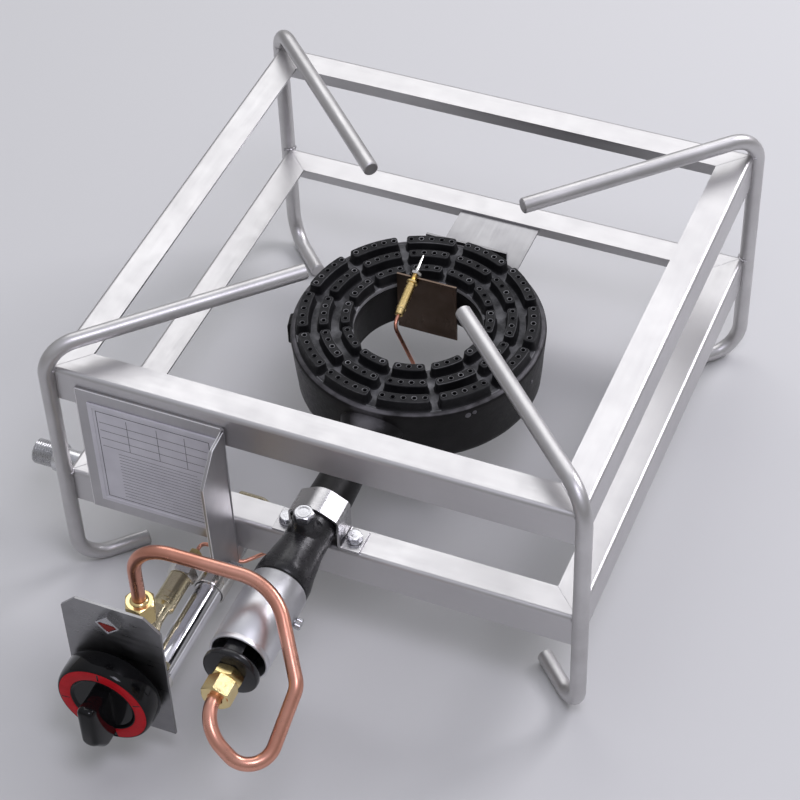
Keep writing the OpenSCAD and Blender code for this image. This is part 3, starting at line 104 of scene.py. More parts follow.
def bands(start, n, rows):
    """Faces between rows of n points that follow one another from start."""
    rings = [[start + k * n + i for i in range(n)] for k in range(rows)]
    return [face for a, b in zip(rings, rings[1:]) for face in band(a, b)]


def along(point, direction):
    """A matrix that carries +Z to direction and the origin to point."""
    n = unit(direction)
    side = Vector((1, 0, 0)) if abs(n.z) > 0.9 else Vector((0, 0, 1))
    e = side.cross(n).normalized()
    f = n.cross(e)
    turn = Matrix((e, f, n)).transposed().to_4x4()
    return Matrix.Translation(point) @ turn


def on_y(x, z):
    """A matrix that carries +Z to +Y, for pieces turned about an axis at x and z."""
    return Matrix.Translation((x, 0, z)) @ spin(math.radians(-90), "X")


def lathe(profile, count=64, closed=False):
    """A profile of (radius, height) points turned about Z. Radius 0 ends become single points."""
    points, rows, faces = [], [], []
    for r, h in profile:
        if r < 1e-6:
            rows.append([len(points)])
            points.append((0, 0, h))
        else:
            rows.append(list(range(len(points), len(points) + count)))
            points += circle(r, h, count)
    pairs = list(zip(rows, rows[1:])) + ([(rows[-1], rows[0])] if closed else [])
    for a, b in pairs:
        if len(a) > 1 and len(b) > 1:
            faces += band(a, b)
        elif len(b) > 1:
            faces += [(a[0], b[i], b[(i + 1) % count]) for i in range(count)]
        elif len(a) > 1:
            faces += [(a[i], a[(i + 1) % count], b[0]) for i in range(count)]
    if not closed:
        for row in (rows[0], rows[-1]):
            if len(row) > 1:
                faces.append(tuple(row))
    return points, faces


def hexagon(af, low, high, bore=0.0, flat_base=False):
    """A hexagonal nut or head along Z, af across its flats, with turned chamfers on its ends."""
    count = 48
    face_r = af / 2 * 0.96
    slope = math.tan(math.radians(30))
    points = []

    def ring(r, h, tilt=0.0):
        """One row of points at radius r, or on the six flats where r is 0."""
        start = len(points)
        for i in range(count):
            a = 2 * math.pi * i / count
            corner = af / 2 / math.cos((a % (math.pi / 3)) - math.pi / 6)
            at = r or corner
            points.append((at * math.cos(a), at * math.sin(a), h + (corner - face_r) * tilt))
        return [start + i for i in range(count)]

    rows = [ring(bore, low + 0.5), ring(bore + 0.5, low)] if bore else []
    rows += [ring(0, low)] if flat_base else [ring(face_r, low), ring(0, low, slope)]
    rows += [ring(0, high, -slope), ring(face_r, high)]
    rows += [ring(bore + 0.5, high), ring(bore, high - 0.5)] if bore else []
    faces = [face for a, b in zip(rows, rows[1:]) for face in band(a, b)]
    if bore:
        faces += band(rows[-1], rows[0])
    else:
        faces += [tuple(reversed(rows[0])), tuple(rows[-1])]
    return points, faces


def thread(r, pitch, low, high, depth, count=40, steps=6):
    """A threaded shank along Z: the radius follows a rounded V that climbs one pitch a turn."""
    rows = max(2, int(round((high - low) / pitch * steps)))
    points = [(0, 0, low)]
    for k in range(rows + 1):
        h = low + (high - low) * k / rows
        fade = min(1.0, k / 3.0, (rows - k) / 3.0)
        for i in range(count):
            phase = (h / pitch - i / count) % 1.0
            cut = depth * (0.5 - 0.5 * math.cos(2 * math.pi * phase)) * (0.35 + 0.65 * fade)
            cut += depth * 0.6 * (1 - fade)
            a = 2 * math.pi * i / count
            points.append(((r - cut) * math.cos(a), (r - cut) * math.sin(a), h))
    faces = bands(1, count, rows + 1)
    points.append((0, 0, high))
    last = 1 + rows * count
    for i in range(count):
        j = (i + 1) % count
        faces.append((0, 1 + j, 1 + i))
        faces.append((last + i, last + j, len(points) - 1))
    return points, faces


def washer(r, bore, low, high, edge=0.25, count=48):
    return lathe([(bore, low), (r - edge, low), (r, low + edge), (r, high - edge), (r - edge, high),
                  (bore, high)], count, closed=True)


TUBE_AXIS = on_y(0, TUBE_Z)
TAP_AXIS = on_y(TAP_X, TAP_Z)


def facing(x, y, z):
    """A matrix that stands an outline of X and Z upright at x, y and z, its height going to +Y."""
    return Matrix(((1, 0, 0, x), (0, 0, 1, y), (0, 1, 0, z), (0, 0, 0, 1)))


# A matrix that takes an outline of Y and Z and a height along X
SIDEWAYS = Matrix(((0, 0, 1, 0), (1, 0, 0, 0), (0, 1, 0, 0), (0, 0, 0, 1)))


def bend_line(path, bends, step=5.0):
    """Points along a path with a true arc at each inner corner, as the part's source bends it."""
    path = [Vector(p) for p in path]
    out = [path[0]]
    for i in range(1, len(path) - 1):
        d0, d1 = unit(path[i] - path[i - 1]), unit(path[i + 1] - path[i])
        turn = d0.angle(d1)
        bend = bends[i - 1]
        start = path[i] - d0 * (bend * math.tan(turn / 2))
        n = d0.cross(d1).normalized()
        centre = start - d0.cross(n) * bend
        steps = max(4, int(math.ceil(math.degrees(turn) / step)))
        for k in range(steps + 1):
            out.append(centre + Matrix.Rotation(turn * k / steps, 3, n) @ (start - centre))
    out.append(path[-1])
    return out


def tube(points, r, count=32, chamfer=0.0, radius=None):
    """A round bar or pipe along points, its rings carried along without twist."""
    points = [Vector(p) for p in points]
    tangents = []
    for i in range(len(points)):
        a, b = points[max(i - 1, 0)], points[min(i + 1, len(points) - 1)]
        tangents.append((b - a).normalized())
    side = tangents[0].orthogonal().normalized()
    rings = []
    for i, t in enumerate(tangents):
        side = (side - t * side.dot(t)).normalized()
        rings.append((points[i], side.copy(), t.cross(side), radius(i) if radius else r))
    if chamfer:
        first, last = rings[0], rings[-1]
        rings = [(first[0], first[1], first[2], r - chamfer),
                 (first[0] + tangents[0] * chamfer, first[1], first[2], r)] + rings[1:-1] + [
                 (last[0] - tangents[-1] * chamfer, last[1], last[2], r),
                 (last[0], last[1], last[2], r - chamfer)]
    out = [centre + e * (rr * x) + f * (rr * y) for centre, e, f, rr in rings
           for x, y, _ in circle(1.0, 0, count)]
    last = (len(rings) - 1) * count
    caps = [tuple(range(count - 1, -1, -1)), tuple(last + k for k in range(count))]
    return out, bands(0, count, len(rings)) + caps


def block(x0, y0, z0, x1, y1, z1):
    points = [(x, y, z) for z in (z0, z1) for y in (y0, y1) for x in (x0, x1)]
    return points, [(0, 2, 3, 1), (4, 5, 7, 6), (0, 1, 5, 4), (1, 3, 7, 5), (3, 2, 6, 7), (2, 0, 4, 6)]


def prism(outline, low, high):
    """A flat outline in X and Y, raised from low to high along Z."""
    n = len(outline)
    points = [(x, y, low) for x, y in outline] + [(x, y, high) for x, y in outline]
    faces = [tuple(range(n - 1, -1, -1)), tuple(range(n, 2 * n))]
    faces += [(i, (i + 1) % n, n + (i + 1) % n, n + i) for i in range(n)]
    return points, faces


def roughened(shape, amount, scale, seed=0.0):
    """Points moved by a smooth noise, for cast and welded surfaces."""
    points, faces = shape
    out = []
    for p in points:
        p = Vector(p)
        q = p * scale + Vector((seed, seed * 0.7, -seed))
        out.append(p + noise.noise_vector(q) * amount)
    return out, faces


# Materials

def new_material(name):
    material = bpy.data.materials.new(name)
    material.use_nodes = True
    tree = material.node_tree
    shader = tree.nodes["Principled BSDF"]
    return material, tree, shader


def put(node, values):
    """Sets a node's inputs by name."""
    for key, value in values.items():
        node.inputs[key].default_value = value


def coordinates(tree, scale=(1, 1, 1)):
    place = tree.nodes.new("ShaderNodeTexCoord")
    mapping = tree.nodes.new("ShaderNodeMapping")
    put(mapping, {"Scale": scale})
    tree.links.new(place.outputs["Object"], mapping.inputs["Vector"])
    return mapping.outputs["Vector"]


def noise_out(tree, vector, scale, detail, rough=0.55):
    node = tree.nodes.new("ShaderNodeTexNoise")
    put(node, {"Scale": scale, "Detail": detail, "Roughness": rough})
    tree.links.new(vector, node.inputs["Vector"])
    return node.outputs["Fac"]


def spread(tree, value, low, high, from_low=0.3, from_high=0.7):
    """Maps a value from one range to another. Noise keeps mostly to 0.3 to 0.7."""
    node = tree.nodes.new("ShaderNodeMapRange")
    put(node, {"From Min": from_low, "From Max": from_high, "To Min": low, "To Max": high})
    tree.links.new(value, node.inputs["Value"])
    return node.outputs["Result"]


def added(tree, a, b):
    node = tree.nodes.new("ShaderNodeMath")
    node.operation = "ADD"
    tree.links.new(a, node.inputs[0])
    tree.links.new(b, node.inputs[1])
    return node.outputs[0]


def mixed(tree, value, a, b):
    node = tree.nodes.new("ShaderNodeMix")
    node.data_type = "RGBA"
    put(node, {"A": (*a, 1), "B": (*b, 1)})
    tree.links.new(value, node.inputs["Factor"])
    return node.outputs["Result"]


def bumped(tree, shader, value, strength, distance):
    node = tree.nodes.new("ShaderNodeBump")
    put(node, {"Strength": strength, "Distance": distance})
    tree.links.new(value, node.inputs["Height"])
    tree.links.new(node.outputs["Normal"], shader.inputs["Normal"])


def surface(name, dark, light, rough, cloud, grain, stretch=(1, 1, 1), bump=0.06, depth=0.0001, metallic=1.0,
            specular=0.5):
    """Colour and gloss vary in soft clouds, with a fine grain that stretch draws out along an axis."""
    material, tree, shader = new_material(name)
    wide = coordinates(tree)
    drawn = coordinates(tree, stretch)
    clouds = noise_out(tree, wide, cloud, 5.0)
    tree.links.new(mixed(tree, spread(tree, clouds, 0, 1), dark, light), shader.inputs["Base Color"])
    fine = noise_out(tree, drawn, grain, 3.0, 0.6)
    patch = noise_out(tree, wide, 60.0, 4.0)
    gloss = added(tree, spread(tree, fine, *rough), spread(tree, patch, -0.03, 0.05))
    tree.links.new(gloss, shader.inputs["Roughness"])
    put(shader, {"Metallic": metallic, "Specular IOR Level": specular})
    bumped(tree, shader, fine, bump, depth)
    return material


def toned(name, dark, mid, light, metallic, rough, grain=260.0, bump=0.35, depth=0.0006, specular=0.5):
    """Cast metal whose colour follows the tone painted on its mesh: 0 dark, 0.5 middle, 1 bright, where the
    bright tone is partly worn metal and partly painted highlight.
    """
    material, tree, shader = new_material(name)
    tone = tree.nodes.new("ShaderNodeAttribute")
    tone.attribute_name = "tone"
    wide = coordinates(tree)
    clouds = noise_out(tree, wide, 70.0, 6.0, 0.65)
    shifted = added(tree, tone.outputs["Fac"], spread(tree, clouds, -0.10, 0.10))
    ramp = tree.nodes.new("ShaderNodeValToRGB")
    ramp.color_ramp.elements[0].color = (*dark, 1)
    ramp.color_ramp.elements[1].color = (*light, 1)
    middle = ramp.color_ramp.elements.new(0.5)
    middle.color = (*mid, 1)
    tree.links.new(shifted, ramp.inputs["Fac"])
    tree.links.new(ramp.outputs["Color"], shader.inputs["Base Color"])
    fine = noise_out(tree, wide, grain, 8.0, 0.7)
    tree.links.new(spread(tree, fine, *rough), shader.inputs["Roughness"])
    put(shader, {"Metallic": metallic, "Specular IOR Level": specular})
    bumped(tree, shader, fine, bump, depth)
    return material


steel_x = surface("satin_steel_x", (0.535, 0.525, 0.53), (0.59, 0.58, 0.585), (0.36, 0.41), 9.0, 420.0,
    stretch=(0.06, 1, 1))
steel_y = surface("satin_steel_y", (0.535, 0.525, 0.53), (0.59, 0.58, 0.585), (0.36, 0.41), 9.0, 420.0,
    stretch=(1, 0.06, 1))
bar_steel = surface("blasted_bar", (0.50, 0.49, 0.49), (0.62, 0.61, 0.61), (0.36, 0.46), 22.0, 900.0,
    bump=0.08)
weld_steel = surface("dressed_weld", (0.42, 0.41, 0.42), (0.60, 0.59, 0.60), (0.30, 0.50), 60.0, 700.0,
    bump=0.4, depth=0.0003)
sheet_steel = surface("brushed_sheet", (0.42, 0.41, 0.42), (0.52, 0.51, 0.52), (0.30, 0.38), 16.0, 500.0,
    stretch=(1, 1, 0.05))
rear_sheet = surface("rear_sheet", (0.33, 0.325, 0.335), (0.41, 0.405, 0.415), (0.34, 0.42), 16.0, 500.0,
    stretch=(1, 0.05, 1))
# The control plate's colours are darkened to stand in for the dark surroundings that it mirrors: painted
# shade.
shaded_plate_steel = surface("control_sheet", (0.24, 0.238, 0.245), (0.33, 0.328, 0.335), (0.26, 0.36), 22.0, 500.0,
    stretch=(0.05, 1, 1))
# Very light steel for thin bars on the label bracket's edges: a painted highlight where the sheet edges catch
# the light.
edge_highlight_steel = surface("painted_edge_highlight", (0.84, 0.83, 0.84), (0.92, 0.91, 0.92), (0.34, 0.44), 60.0, 400.0,
    metallic=0.6)
strap_steel = surface("polished_strap", (0.40, 0.395, 0.40), (0.50, 0.49, 0.50), (0.24, 0.32), 40.0, 400.0,
    stretch=(0.1, 1, 1), bump=0.05)
tinted_steel = surface("heat_tinted_sheet", (0.085, 0.058, 0.042), (0.14, 0.105, 0.085), (0.26, 0.36), 40.0,
    500.0, stretch=(1, 1, 0.08))
zinc = surface("zinc_fastener", (0.46, 0.46, 0.48), (0.60, 0.60, 0.62), (0.22, 0.30), 90.0, 500.0, bump=0.08)
aluminium = surface("turned_aluminium", (0.62, 0.62, 0.64), (0.72, 0.72, 0.74), (0.34, 0.42), 20.0, 500.0,
    stretch=(0.25, 3, 0.25))
chrome = surface("plated_tube", (0.76, 0.76, 0.79), (0.88, 0.88, 0.91), (0.05, 0.10), 30.0, 500.0,
    stretch=(1, 0.1, 1), bump=0.02, depth=0.00005)
nickel = surface("plated_nickel", (0.66, 0.64, 0.61), (0.80, 0.78, 0.75), (0.12, 0.20), 60.0, 700.0,
    bump=0.05)
zinc_pipe = surface("zinc_pipe", (0.52, 0.52, 0.53), (0.68, 0.68, 0.69), (0.22, 0.32), 60.0, 700.0,
    stretch=(0.2, 1, 1), bump=0.05)
brass = surface("machined_brass", (0.72, 0.55, 0.24), (0.88, 0.72, 0.38), (0.14, 0.24), 50.0, 500.0,
    bump=0.04)
probe_brass = surface("probe_brass", (0.84, 0.60, 0.22), (0.95, 0.74, 0.36), (0.22, 0.30), 90.0, 500.0,
    bump=0.04)
pale_brass = surface("cast_brass", (0.62, 0.54, 0.35), (0.74, 0.66, 0.46), (0.20, 0.28), 40.0, 400.0,
    bump=0.04)
copper = surface("drawn_copper", (0.60, 0.27, 0.19), (0.74, 0.38, 0.29), (0.26, 0.34), 26.0, 300.0, bump=0.03)
copper_lead = surface("thin_copper", (0.58, 0.26, 0.18), (0.72, 0.36, 0.27), (0.26, 0.36), 60.0, 500.0,
    bump=0.05)
spring_steel = surface("spring_wire", (0.40, 0.40, 0.42), (0.60, 0.60, 0.62), (0.20, 0.30), 90.0, 900.0,
    bump=0.12, depth=0.00015)
probe_steel = surface("probe_tip", (0.66, 0.65, 0.62), (0.84, 0.83, 0.80), (0.16, 0.26), 200.0, 900.0,
    bump=0.12, depth=0.00015)
rubber = surface("valve_rubber", (0.015, 0.015, 0.016), (0.03, 0.03, 0.032), (0.55, 0.7), 200.0, 900.0,
    bump=0.12, depth=0.00015, metallic=0.0)
gloss_black = surface("gloss_black", (0.008, 0.008, 0.009), (0.015, 0.015, 0.017), (0.16, 0.26), 60.0, 700.0,
    bump=0.05, depth=0.00008, metallic=0.0, specular=0.35)
tube_iron = surface("painted_tube", (0.009, 0.009, 0.010), (0.020, 0.019, 0.021), (0.22, 0.34), 50.0, 240.0,
    bump=0.25, depth=0.0004, metallic=0.0, specular=0.45)
knob_black = surface("phenolic_black", (0.003, 0.003, 0.0035), (0.006, 0.006, 0.0065), (0.07, 0.13), 80.0,
    700.0, bump=0.02, depth=0.00005, metallic=0.0, specular=0.22)
mark_red = surface("red_mark", (0.42, 0.006, 0.012), (0.52, 0.010, 0.018), (0.36, 0.46), 120.0, 900.0,
    bump=0.12, depth=0.00015, metallic=0.0, specular=0.12)
label_face = surface("label_enamel", (0.60, 0.59, 0.64), (0.68, 0.67, 0.72), (0.30, 0.42), 50.0, 800.0,
    bump=0.04, depth=0.00005, metallic=0.2)
label_ink = surface("label_ruling", (0.05, 0.05, 0.06), (0.09, 0.09, 0.10), (0.4, 0.5), 200.0, 900.0,
    bump=0.12, depth=0.00015, metallic=0.0)
recess_red = surface("sealing_wax", (0.16, 0.010, 0.008), (0.24, 0.02, 0.014), (0.3, 0.45), 200.0, 600.0,
    bump=0.12, depth=0.00015, metallic=0.0, specular=0.2)
head_iron = toned("ported_casting", (0.007, 0.007, 0.008), (0.036, 0.036, 0.038), (0.42, 0.42, 0.43), 0.1,
    (0.40, 0.60), 320.0, 0.30, 0.0005, specular=0.18)
body_iron = toned("burner_casting", (0.005, 0.0045, 0.0045), (0.015, 0.014, 0.0145), (0.16, 0.155, 0.165),
    0.1, (0.34, 0.50), 280.0, 0.25, 0.0005, specular=0.18)


# Pieces

def into_scene(name, data):
    obj = bpy.data.objects.new(name, data)
    scene.collection.objects.link(obj)
    return obj


def piece(name, shape, material, stands_for=(), body="root", sharp=30.0, edge=0.0, tone=None):
    """Makes one mesh piece from millimetre points, smooth apart from its sharp edges."""
    points, faces = shape
    mesh = bpy.data.meshes.new(name)
    mesh.from_pydata([TO_ROW @ Vector(p) for p in points], [], [tuple(f) for f in faces])
    mesh.validate()
    mesh.materials.append(material)
    mesh.polygons.foreach_set("use_smooth", [True] * len(mesh.polygons))
    mesh.set_sharp_from_angle(angle=math.radians(sharp))
    if tone is not None:
        layer = mesh.color_attributes.new("tone", "FLOAT_COLOR", "POINT")
        for i, v in enumerate(tone):
            v = min(1.0, max(0.0, v))
            layer.data[i].color = (v, v, v, 1)
    obj = into_scene(name, mesh)
    if edge:
        soften(obj, edge)
    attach(obj, body)
    if stands_for:
        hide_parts(*stands_for)
    return obj


def soften(obj, width):
    """Rounds an object's sharp edges by width millimetres."""
    bevel = obj.modifiers.new("edge", "BEVEL")
    bevel.width = width * MM
    bevel.segments = 2
    bevel.limit_method = "ANGLE"
    bevel.angle_limit = math.radians(35)
    bevel.harden_normals = True


def dress(node, material, edge=0.0):
    """Gives a CAD node its finish, and softens its edges where asked."""
    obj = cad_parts[node]
    if obj.material_slots:
        for s in obj.material_slots:
            s.material = material
    else:
        obj.data.materials.append(material)
    if edge:
        soften(obj, edge)


# Rails: the angle's bend is in the source, so the nodes stay and get their finish
for ring in ("upper", "lower"):
    for side, material in (("front", steel_x), ("back", steel_x), ("left", steel_y), ("right", steel_y)):
        dress(f"{ring}_{side}_rail", material)

# Pot arms, legs and feet
LEG_D, ARM_IN, FOOT_L = 284.96, 86, 55
BAR_R, ARM_Z = 6.0, 229
for name, deg in (("front_left", 225), ("front_right", 315), ("back_left", 135), ("back_right", 45)):
    x, y = arc(0, 0, 1, [deg])[0]
    side_view = ((ARM_IN, ARM_Z), (LEG_D, ARM_Z), (LEG_D, BAR_R), (LEG_D - FOOT_L, BAR_R))
    corners = [(x * d, y * d, z) for d, z in side_view]
    bar = tube(bend_line(corners, [24, 24], 4.0), BAR_R, 40, 0.8)
    piece(f"bar_{name}", bar, bar_steel, (f"leg_{name}",), sharp=32.0)

# Dressed mitre welds across the flanges, and small beads where the bars meet the rings
mitres, beads = [], []
for top in (UPPER_TOP, LOWER_TOP):
    for k in range(4):
        turn = spin(math.radians(90 * k))
        seam = tube([Vector((176 + i, 176 + i, top + 0.02)) for i in range(21)], 0.35, 8)
        flat = [Vector((p.x, p.y, top + (p.z - top) * 0.3)) for p in seam[0]]
        mitres.append(moved((flat, seam[1]), turn))
        turns = [168 + 114 * i / 16 for i in range(17)]
        line = [(x, y, top - 0.3) for x, y in arc(201.5, 201.5, BAR_R + 0.3, turns)]
        lump = tube(line, 1.2, 8, radius=lambda i: 1.0 + 0.25 * math.sin(i * 1.9))
        beads.append(moved(roughened(lump, 0.25, 0.6, k + top), turn))
piece("mitre_welds", joined(*mitres), weld_steel, sharp=32.0)
piece("leg_welds", joined(*beads), weld_steel, sharp=32.0)

# Burner head: three rows of ported segments on a ring plate
ROW_IN = (83.2, 67.8, 51.5)
ROW_OUT = (91.8, 75.3, 58.5)
ROW_PORTS = (5, 4, 3)
COUNT = 12  # segments in a row
SPAN = 360 / COUNT - 5.0  # degrees that a segment takes up
SEGMENT_H = 9.0
PITCH, PORT_R = 8.0, 1.5


def segment_outline(row, mid, grow):
    """The segment's plan with rounded corners, as points round it."""
    rm = (ROW_IN[row] + ROW_OUT[row]) / 2
    half = rm * math.radians(SPAN / 2) + grow
    wide = (ROW_OUT[row] - ROW_IN[row]) / 2 + grow
    corner = 2.2 + grow
    out = []
    for cs, ct, start in ((1, 1, 0), (-1, 1, 90), (-1, -1, 180), (1, -1, 270)):
        for k in range(6):
            a = math.radians(start + 90 * k / 5)
            s = cs * (half - corner) + corner * math.cos(a)
            t = ct * (wide - corner) + corner * math.sin(a)
            out.append((s, t))
        if start in (0, 180):
            far = -cs * (half - corner)
            near = out[-1][0]
            for k in range(1, 6):
                out.append((near + (far - near) * k / 6, out[-1][1]))
    return [((rm + t) * math.cos(mid + s / rm), (rm + t) * math.sin(mid + s / rm)) for s, t in out]


# Height from the base, growth of the outline and tone, up a segment's side and onto its top, where a bright
# band at the edge is wear and painted highlight
LEVELS = ((-0.3, 1.9, 0.5), (0.15, 1.4, 0.42), (0.9, 0.95, 0.15), (1.8, 0.7, 0.05),
          (SEGMENT_H - 1.4, 0.12, 0.04), (SEGMENT_H - 0.65, 0.05, 0.30), (SEGMENT_H - 0.15, -0.15, 0.72),
          (SEGMENT_H, -0.4, 0.5), (SEGMENT_H, -0.75, 0.06))


def head_mesh():
    """The segments, each with a row of ports that have raised rims, lighter from wear and painted highlight,
    and the tone of every point.
    """
    points, faces, tones = [], [], []
    top = SEGMENT_H

    def add(p, tone):
        points.append(p)
        tones.append(tone)
        return len(points) - 1

    for row, ports in enumerate(ROW_PORTS):
        rm = (ROW_IN[row] + ROW_OUT[row]) / 2
        for i in range(COUNT):
            mid = math.radians((i + 0.5) * 360 / COUNT)
            rings = []
            for up, grow, tone in LEVELS:
                # Random variation of the bright edge band, which is wear and painted highlight.
                edge_wear_and_highlight = 0.75 + 0.5 * noise.noise(Vector((mid * 9, row * 3.1, up)))
                rings.append([add(Vector((x, y, BASE_Z + up)), tone * edge_wear_and_highlight if tone > 0.3 else tone)
                              for x, y in segment_outline(row, mid, grow)])
            loops = [rings[-1]]
            for a, b in zip(rings, rings[1:]):
                faces += band(a, b)
            for k in range(ports):
                a = mid + (k - (ports - 1) / 2) * PITCH / rm
                cx, cy = rm * math.cos(a), rm * math.sin(a)
                # The port rims are lighter: partly worn metal, partly a painted highlight.
                rim_wear_and_highlight = 0.62 + 0.45 * noise.noise(Vector((cx * 0.7, cy * 0.7, 3)))
                rims = ((2.2, top, 0.06), (2.1, top + 0.3, 0.25 + rim_wear_and_highlight * 0.4), (1.95, top + 0.45, rim_wear_and_highlight + 0.15),
                        (1.75, top + 0.35, rim_wear_and_highlight), (PORT_R, top - 0.1, 0.2), (PORT_R, top - 1.1, 0.0),
                        (PORT_R, 1.0, 0.0))
                rows = [[add(Vector(p), tone) for p in circle(r, BASE_Z + h, 20, cx, cy)]
                        for r, h, tone in rims]
                for a, b in zip(rows, rows[1:]):
                    faces += band(a, b)
                faces.append(tuple(rows[-1]))
                loops.append(rows[0])
            faces += filled(points, loops)
    return points, faces, tones


def filled(points, loops):
    """Triangles of a flat region between an outline and the holes in it."""
    bm = bmesh.new()
    made = {i: bm.verts.new(points[i]) for loop in loops for i in loop}
    edges = [bm.edges.new((made[a], made[b])) for loop in loops for a, b in zip(loop, loop[1:] + loop[:1])]
    bm.verts.index_update()
    back = {vertex: i for i, vertex in made.items()}
    result = bmesh.ops.triangle_fill(bm, use_beauty=True, use_dissolve=False, edges=edges)
    out = [tuple(back[v] for v in f.verts) for f in result["geom"] if isinstance(f, bmesh.types.BMFace)]
    bm.free()
    return out


def plate_tone(p):
    r = math.hypot(p.x, p.y)
    base = 0.56 + 0.12 * noise.noise(Vector((p.x, p.y, 0)) * 0.09)
    return 0.74 if r > 92.4 or r < 50.4 else base


points, faces, tones = head_mesh()
plate_rows = [(49.5, BASE_Z - 3.7), (93.0, BASE_Z - 3.7), (93.0, BASE_Z - 0.4), (92.7, BASE_Z),
              (92.2, BASE_Z)]
plate_rows += [(92.2 - k * (92.2 - 50.6) / 14, BASE_Z) for k in range(1, 15)]
plate_rows += [(50.0, BASE_Z - 0.15), (49.5, BASE_Z - 0.7)]
plate = lathe(plate_rows, 144, closed=True)
tones += [plate_tone(Vector(p)) for p in plate[0]]
piece("burner_head_casting", joined((points, faces), plate), head_iron, ("burner_head",),
      sharp=50.0, tone=tones)

# Burner body: skirt, inner wall and neck
WALL_R, SKIRT_R, WALL_TOP = 97.5, 94.0, BASE_Z - 3.5


def wall_r(z):
    return SKIRT_R + (WALL_R - SKIRT_R) * (z - SKIRT_Z) / (WALL_TOP - SKIRT_Z)


outer_wall = [(SKIRT_R - 0.5, SKIRT_Z), (SKIRT_R, SKIRT_Z + 0.6)]
outer_wall += [(wall_r(z), z) for z in [SKIRT_Z + 4 + 5 * k for k in range(8)]]
outer_wall += arc(WALL_R - 3.5, WALL_TOP, 3.5, range(0, 91, 15))
chamber_under = [(50.0, CHAMBER_Z + 0.5), (50.5, CHAMBER_Z), (89.0, CHAMBER_Z), (89.5, CHAMBER_Z - 0.5),
                 (89.5, SKIRT_Z + 0.6), (90.0, SKIRT_Z)]
chamber_in = [(93.5, BASE_Z - 0.1), (93.3, BASE_Z - 0.5), (93.3, BASE_Z - 4), (91.0, BASE_Z - 4),
              (89.5, CHAMBER_Z + 4.5), (54.5, CHAMBER_Z + 4.5), (53.0, BASE_Z - 4.3), (49.5, BASE_Z - 4.3),
              (49.6, 128.0), (49.8, 115.0)]
skirt = lathe(chamber_under + outer_wall + chamber_in, 160, closed=True)
neck_line = [Vector((0, y, TUBE_Z)) for y in (-186, -170, -150, -134, -124, -117, -111, -106, -102, -98, -92)]
neck_r = (16.5, 16.5, 15.8, 15.0, 14.7, 14.8, 15.4, 16.4, 17.8, 19.6, 21.0)
neck = tube(neck_line, 16.5, 64, radius=lambda i: neck_r[i])
# Towards the chamber the neck grows wider and flatter
wider = [1.0 + 0.22 * max(0.0, (p.y + 131) / 39) for p in neck[0]]
flatter = [1 - 0.26 * max(0.0, (p.y + 156) / 64) for p in neck[0]]
neck = ([Vector((p.x * w, p.y, TUBE_Z + (p.z - TUBE_Z) * f)) for p, w, f in zip(neck[0], wider, flatter)],
        neck[1])
lug_side = [(92.0, 117.1), (99.6, 117.1), (100.5, 118.0), (100.5, 134.2), (100.2, 135.6), (99.3, 136.7),
            (98.0, 137.1), (92.0, 137.1)]
lug = moved(prism(lug_side, -6, 6), spin(math.radians(194)) @ spin(math.radians(90), "X"))
nubs = []
for deg, z, size in ((227, 135, 1.6), (314, 135, 2.6), (317, 136, 1.9), (353, 125, 1.8)):
    x, y = arc(0, 0, 1, [deg])[0]
    nub = lathe([(0, 0.9), (size * 0.5, 0.75), (size * 0.85, 0.4), (size, -0.4), (0, -0.4)], 16)
    nubs.append(moved(nub, along((wall_r(z) * x, wall_r(z) * y, z), (x, y, 0.1))))
STAY_X, STAY_Z = 20, 118.1
pad = lathe([(0, 89), (7, 89), (7, 99.6), (6.5, 100.1), (2.65, 100.1), (2.65, 92), (0, 92)], 32)
pads = [moved(pad, on_y(side * STAY_X, STAY_Z)) for side in (-1, 1)]


def body_tone(p):
    r = math.hypot(p.x, p.y)
    base = 0.30 + 0.16 * noise.noise(p * 0.035) + 0.08 * noise.noise(p * 0.15)
    if p.z > BASE_Z - 1.5 and r > 86:
        base = 0.72 + 0.2 * noise.noise(p * 0.2)
    # A light patch on the skirt where the neck's top meets it: a painted highlight.
    root = max(0.0, 1 - math.hypot(p.x / 26, (p.y + 103) / 14, (p.z - 137) / 10))
    return base + 0.9 * root


casting = joined(skirt, neck, lug, *pads)
casting = ([Vector(p) + noise.noise_vector(Vector(p) * 0.11) * (0.22 if Vector(p).z < 130 else 0.08)
            for p in casting[0]], casting[1])
piece("burner_body_casting", casting, body_iron, ("burner_body",), sharp=42.0,
      tone=[body_tone(p) for p in casting[0]])
nubs = joined(*nubs)
piece("casting_nubs", nubs, body_iron, tone=[0.9] * len(nubs[0]), sharp=32.0)

# Mixing tube, with its flare, bell and boss
flare = [(0, -170.2), (14.2, -170.2), (14.2, -186.1), (16.5, -186.1), (16.5, -200), (16.5, -212),
         (16.5, -223), (16.9, -227), (17.8, -233), (19.2, -241), (20.5, -248), (21.0, -252), (21.0, -258.2),
         (20.4, -259), (19.9, -259), (19.9, -300.6), (19.5, -301), (17.1, -301), (17.1, -289), (13, -283),
         (9.5, -240), (12, -190), (0, -188)]
tube_shape = moved(lathe(flare, 96), TUBE_AXIS)
lumpy = []
for p in tube_shape[0]:
    p = Vector(p)
    push = 0.0
    if -256 < p.y < -205:
        push = 0.9 * noise.noise(Vector((p.x * 0.07, p.y * 0.05, p.z * 0.07))) - 0.15
    middle = Vector((0, p.y, TUBE_Z))
    d = p - middle
    lumpy.append(middle + d * (1 + push / max(d.length, 1)) if d.length > 15 else p)
boss = lathe([(0, 10), (12.5, 13.2), (10.8, 15.2), (9.4, 17.4), (8.9, 20), (8.5, 24.2), (8.1, 25), (4.3, 25),
              (4.3, 20), (0, 20)], 48)
BOSS_Y = -213
boss = shift(boss, 0, BOSS_Y, TUBE_Z)
